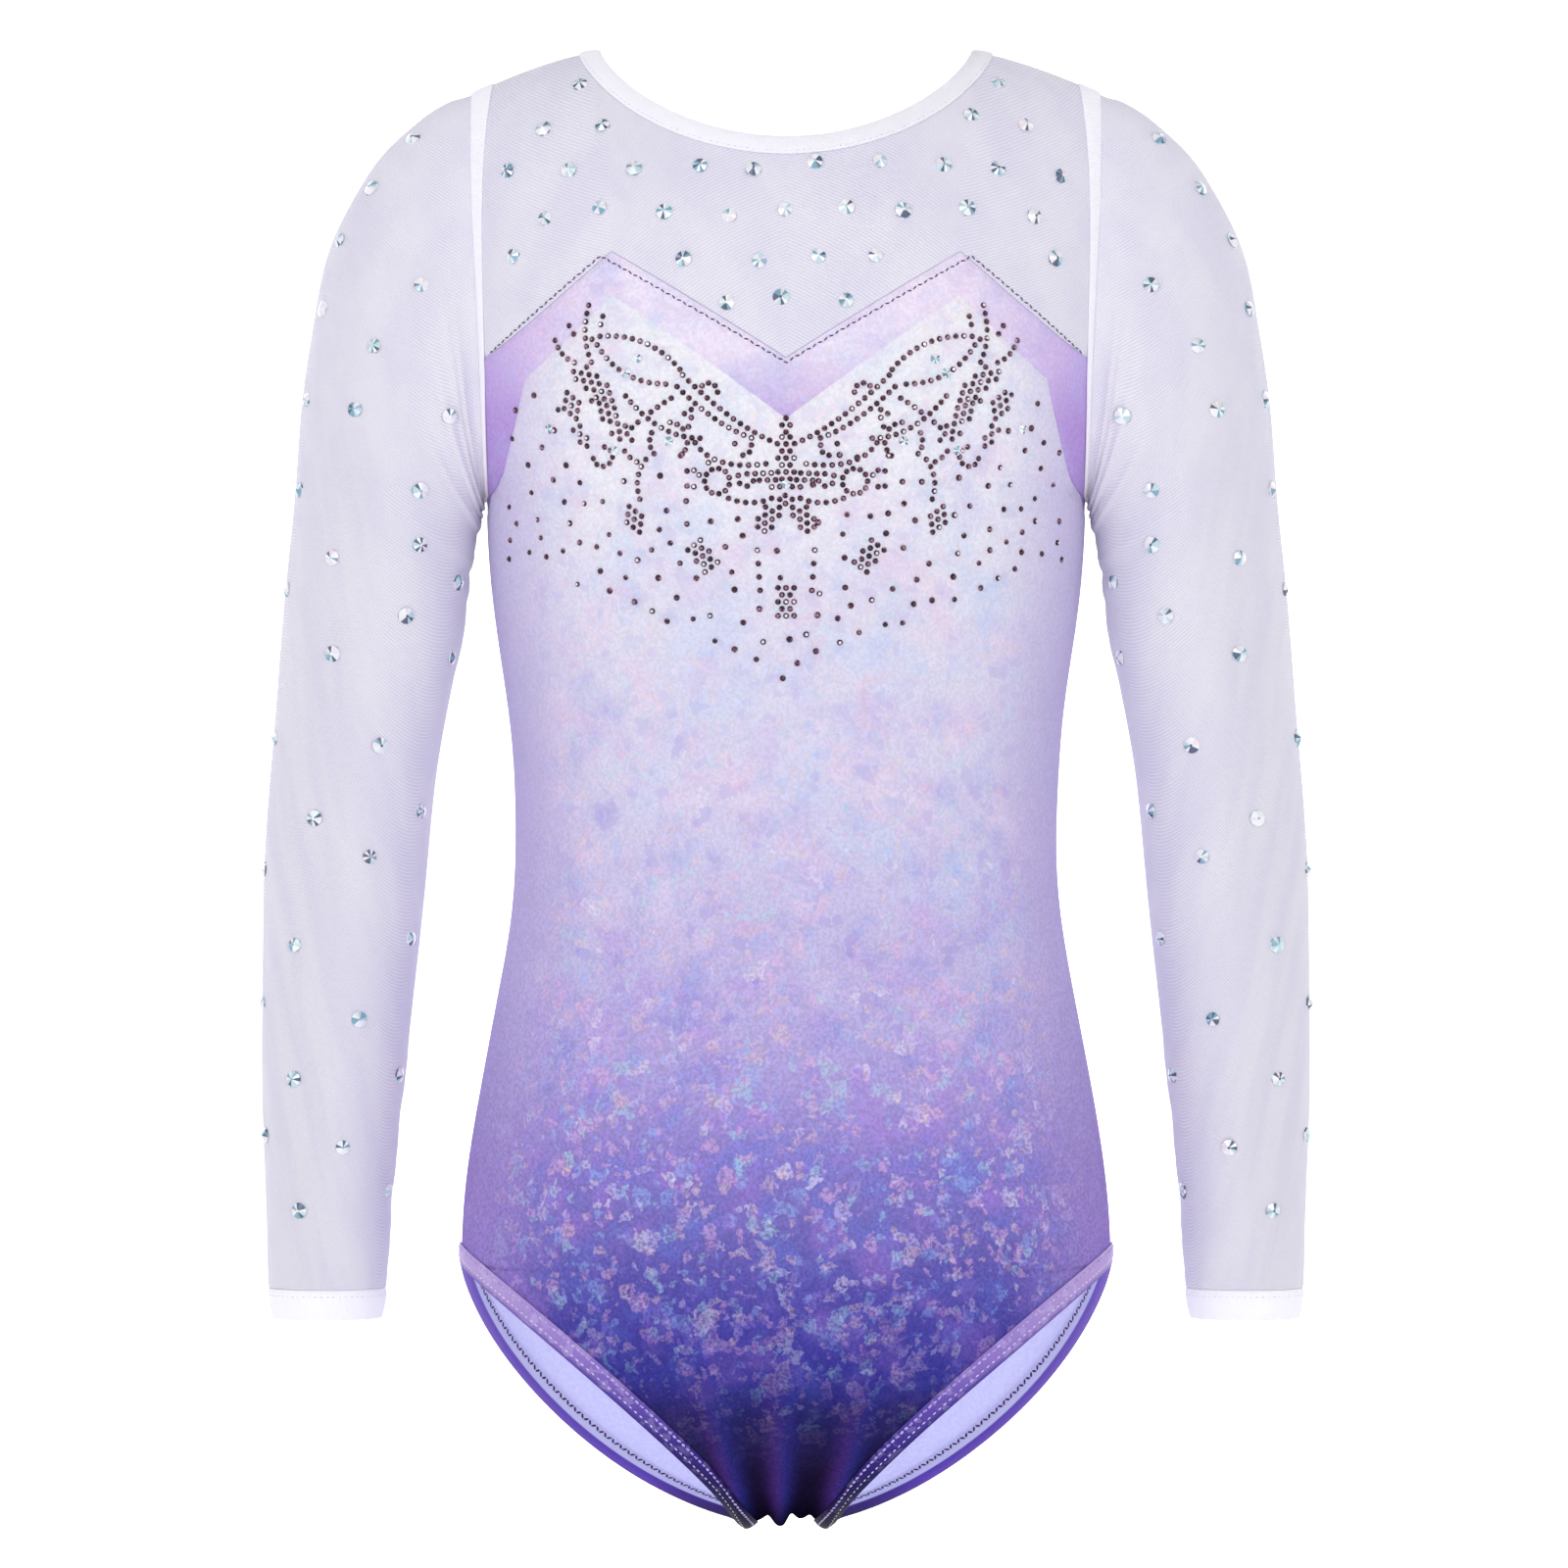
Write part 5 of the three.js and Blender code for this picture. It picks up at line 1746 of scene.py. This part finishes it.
# %% Stones of the swag and crystals of the body
def on_cloth(flat, side):
    """Places on the torso, just above the cloth, and the outward direction there."""
    flat = np.asarray(flat)
    bare = torso_point(flat[:, 0], flat[:, 1], side)
    return lift(bare, 0.03 * MM + 0 * flat[:, 0]), unit(torso_slope(bare))


places, outward = on_cloth(np.concatenate([swag, scatter]), FRONT)
sizes = np.concatenate([np.full(len(swag), STONE), drops.uniform(1.9, 2.4, len(scatter)) * MM])
swag_stones = set_stones("swag_stones", dark_stone, places, outward, sizes, plum_glass)
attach(swag_stones, "torso")

hearts = np.array([(0, 368), (41, 383), (52, 412), (56, 407), (83, 388), (60, 380)]) * MM
hearts = np.concatenate([hearts, hearts[1:] * (-1, 1)])
places, outward = on_cloth(hearts, FRONT)
heart_stones = set_stones(
    "swag_crystals", crystal, places, outward, np.full(len(hearts), 3.4 * MM), pearl_glass
)
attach(heart_stones, "torso")


# %% [markdown]
# ## Single crystals
# On the yokes the crystals stand in staggered rows. On a sleeve each row has two in front
# and two behind, turned by an eighth from the row above. None is set near the armhole strip,
# nor near another one at the underarm, where the rows meet.

# %% Crystals on the yokes
CRYSTAL_SIZES = (5.0, 6.0)


def staggered(side, low, high, step_x, step_z, top_drop):
    """Rows of places between two lines of the yoke, every second one shifted by half."""
    found = []
    rows = np.arange(low, high, step_z)
    for i, z in enumerate(rows):
        for k in range(-8, 9):
            x = (k + 0.5 * (i % 2)) * step_x
            limit = float(half_width(z)) * 0.9
            shoulder = float(shoulder_line_z(abs(x) / SHOULDER_HALF))
            roof = min(float(neck_edge_z(x, top_drop)), shoulder)
            floor = upper_line(abs(x) / half_width(z)) if side == FRONT else BACK_PANEL_TOP
            if abs(x) < limit and z < roof - 11 * MM and z > floor + 7 * MM:
                wobble = drops.normal(0, 1.2 * MM, 2)
                found.append((x + wobble[0], z + wobble[1]))
    return np.array(found)


for name, side, drop in (("front", FRONT, FRONT_NECK_DROP), ("back", BACK, BACK_NECK_DROP)):
    flat = staggered(side, 432 * MM, 517 * MM, 21.5 * MM, 16 * MM, drop)
    places, outward = on_cloth(flat, side)
    sizes = drops.uniform(*CRYSTAL_SIZES, len(flat)) * MM
    crystals = set_stones(
        name + "_yoke_crystals", crystal, places, outward, sizes, pearl_glass, "power_mesh"
    )
    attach(crystals, "torso")

# %% Crystals on the sleeves
ROW_STEP = 0.039
STRIP_CLEARANCE = 10 * MM
CRYSTAL_GAP = 19 * MM
found = []
for i, down in enumerate(np.arange(0.045, 0.965, ROW_STEP)):
    for degrees in ((20, 110), (65, 155))[i % 2]:
        found += [(down, math.radians(degrees)), (down, -math.radians(degrees))]
spots = np.array(found) + drops.normal(0, 1, (len(found), 2)) * (0.005, 0.06)
sites = sleeve_point(*spots.T)
clear = sites[:, 0] - half_width(sites[:, 2]) > STRIP_CLEARANCE
spots, sites = spots[clear], sites[clear]
kept = far_enough(sites, CRYSTAL_GAP)
spots = np.array([spot for spot, site in zip(spots, sites) if (site == kept).all(-1).any()])
v, angle = spots.T
for side in ("left", "right"):
    places = on_side(sleeve_point(v, angle, 0.03 * MM), side)
    outward = on_side(sleeve_outward(v, angle), side)
    sizes = drops.uniform(*CRYSTAL_SIZES, len(v)) * MM
    crystals = set_stones(
        side + "_sleeve_crystals", crystal, places, outward, sizes,
        pearl_glass, "power_mesh",
    )
    hang_on_arm(crystals)

# %% [markdown]
# The cloth may stand a little proud of the frame, but the leotard keeps the frame's size.
# The last line prints the frame's box.

# %% Sizes and finish
import json

print("frame:", [round(v, 4) for v in (*frame_low, *frame_high)])
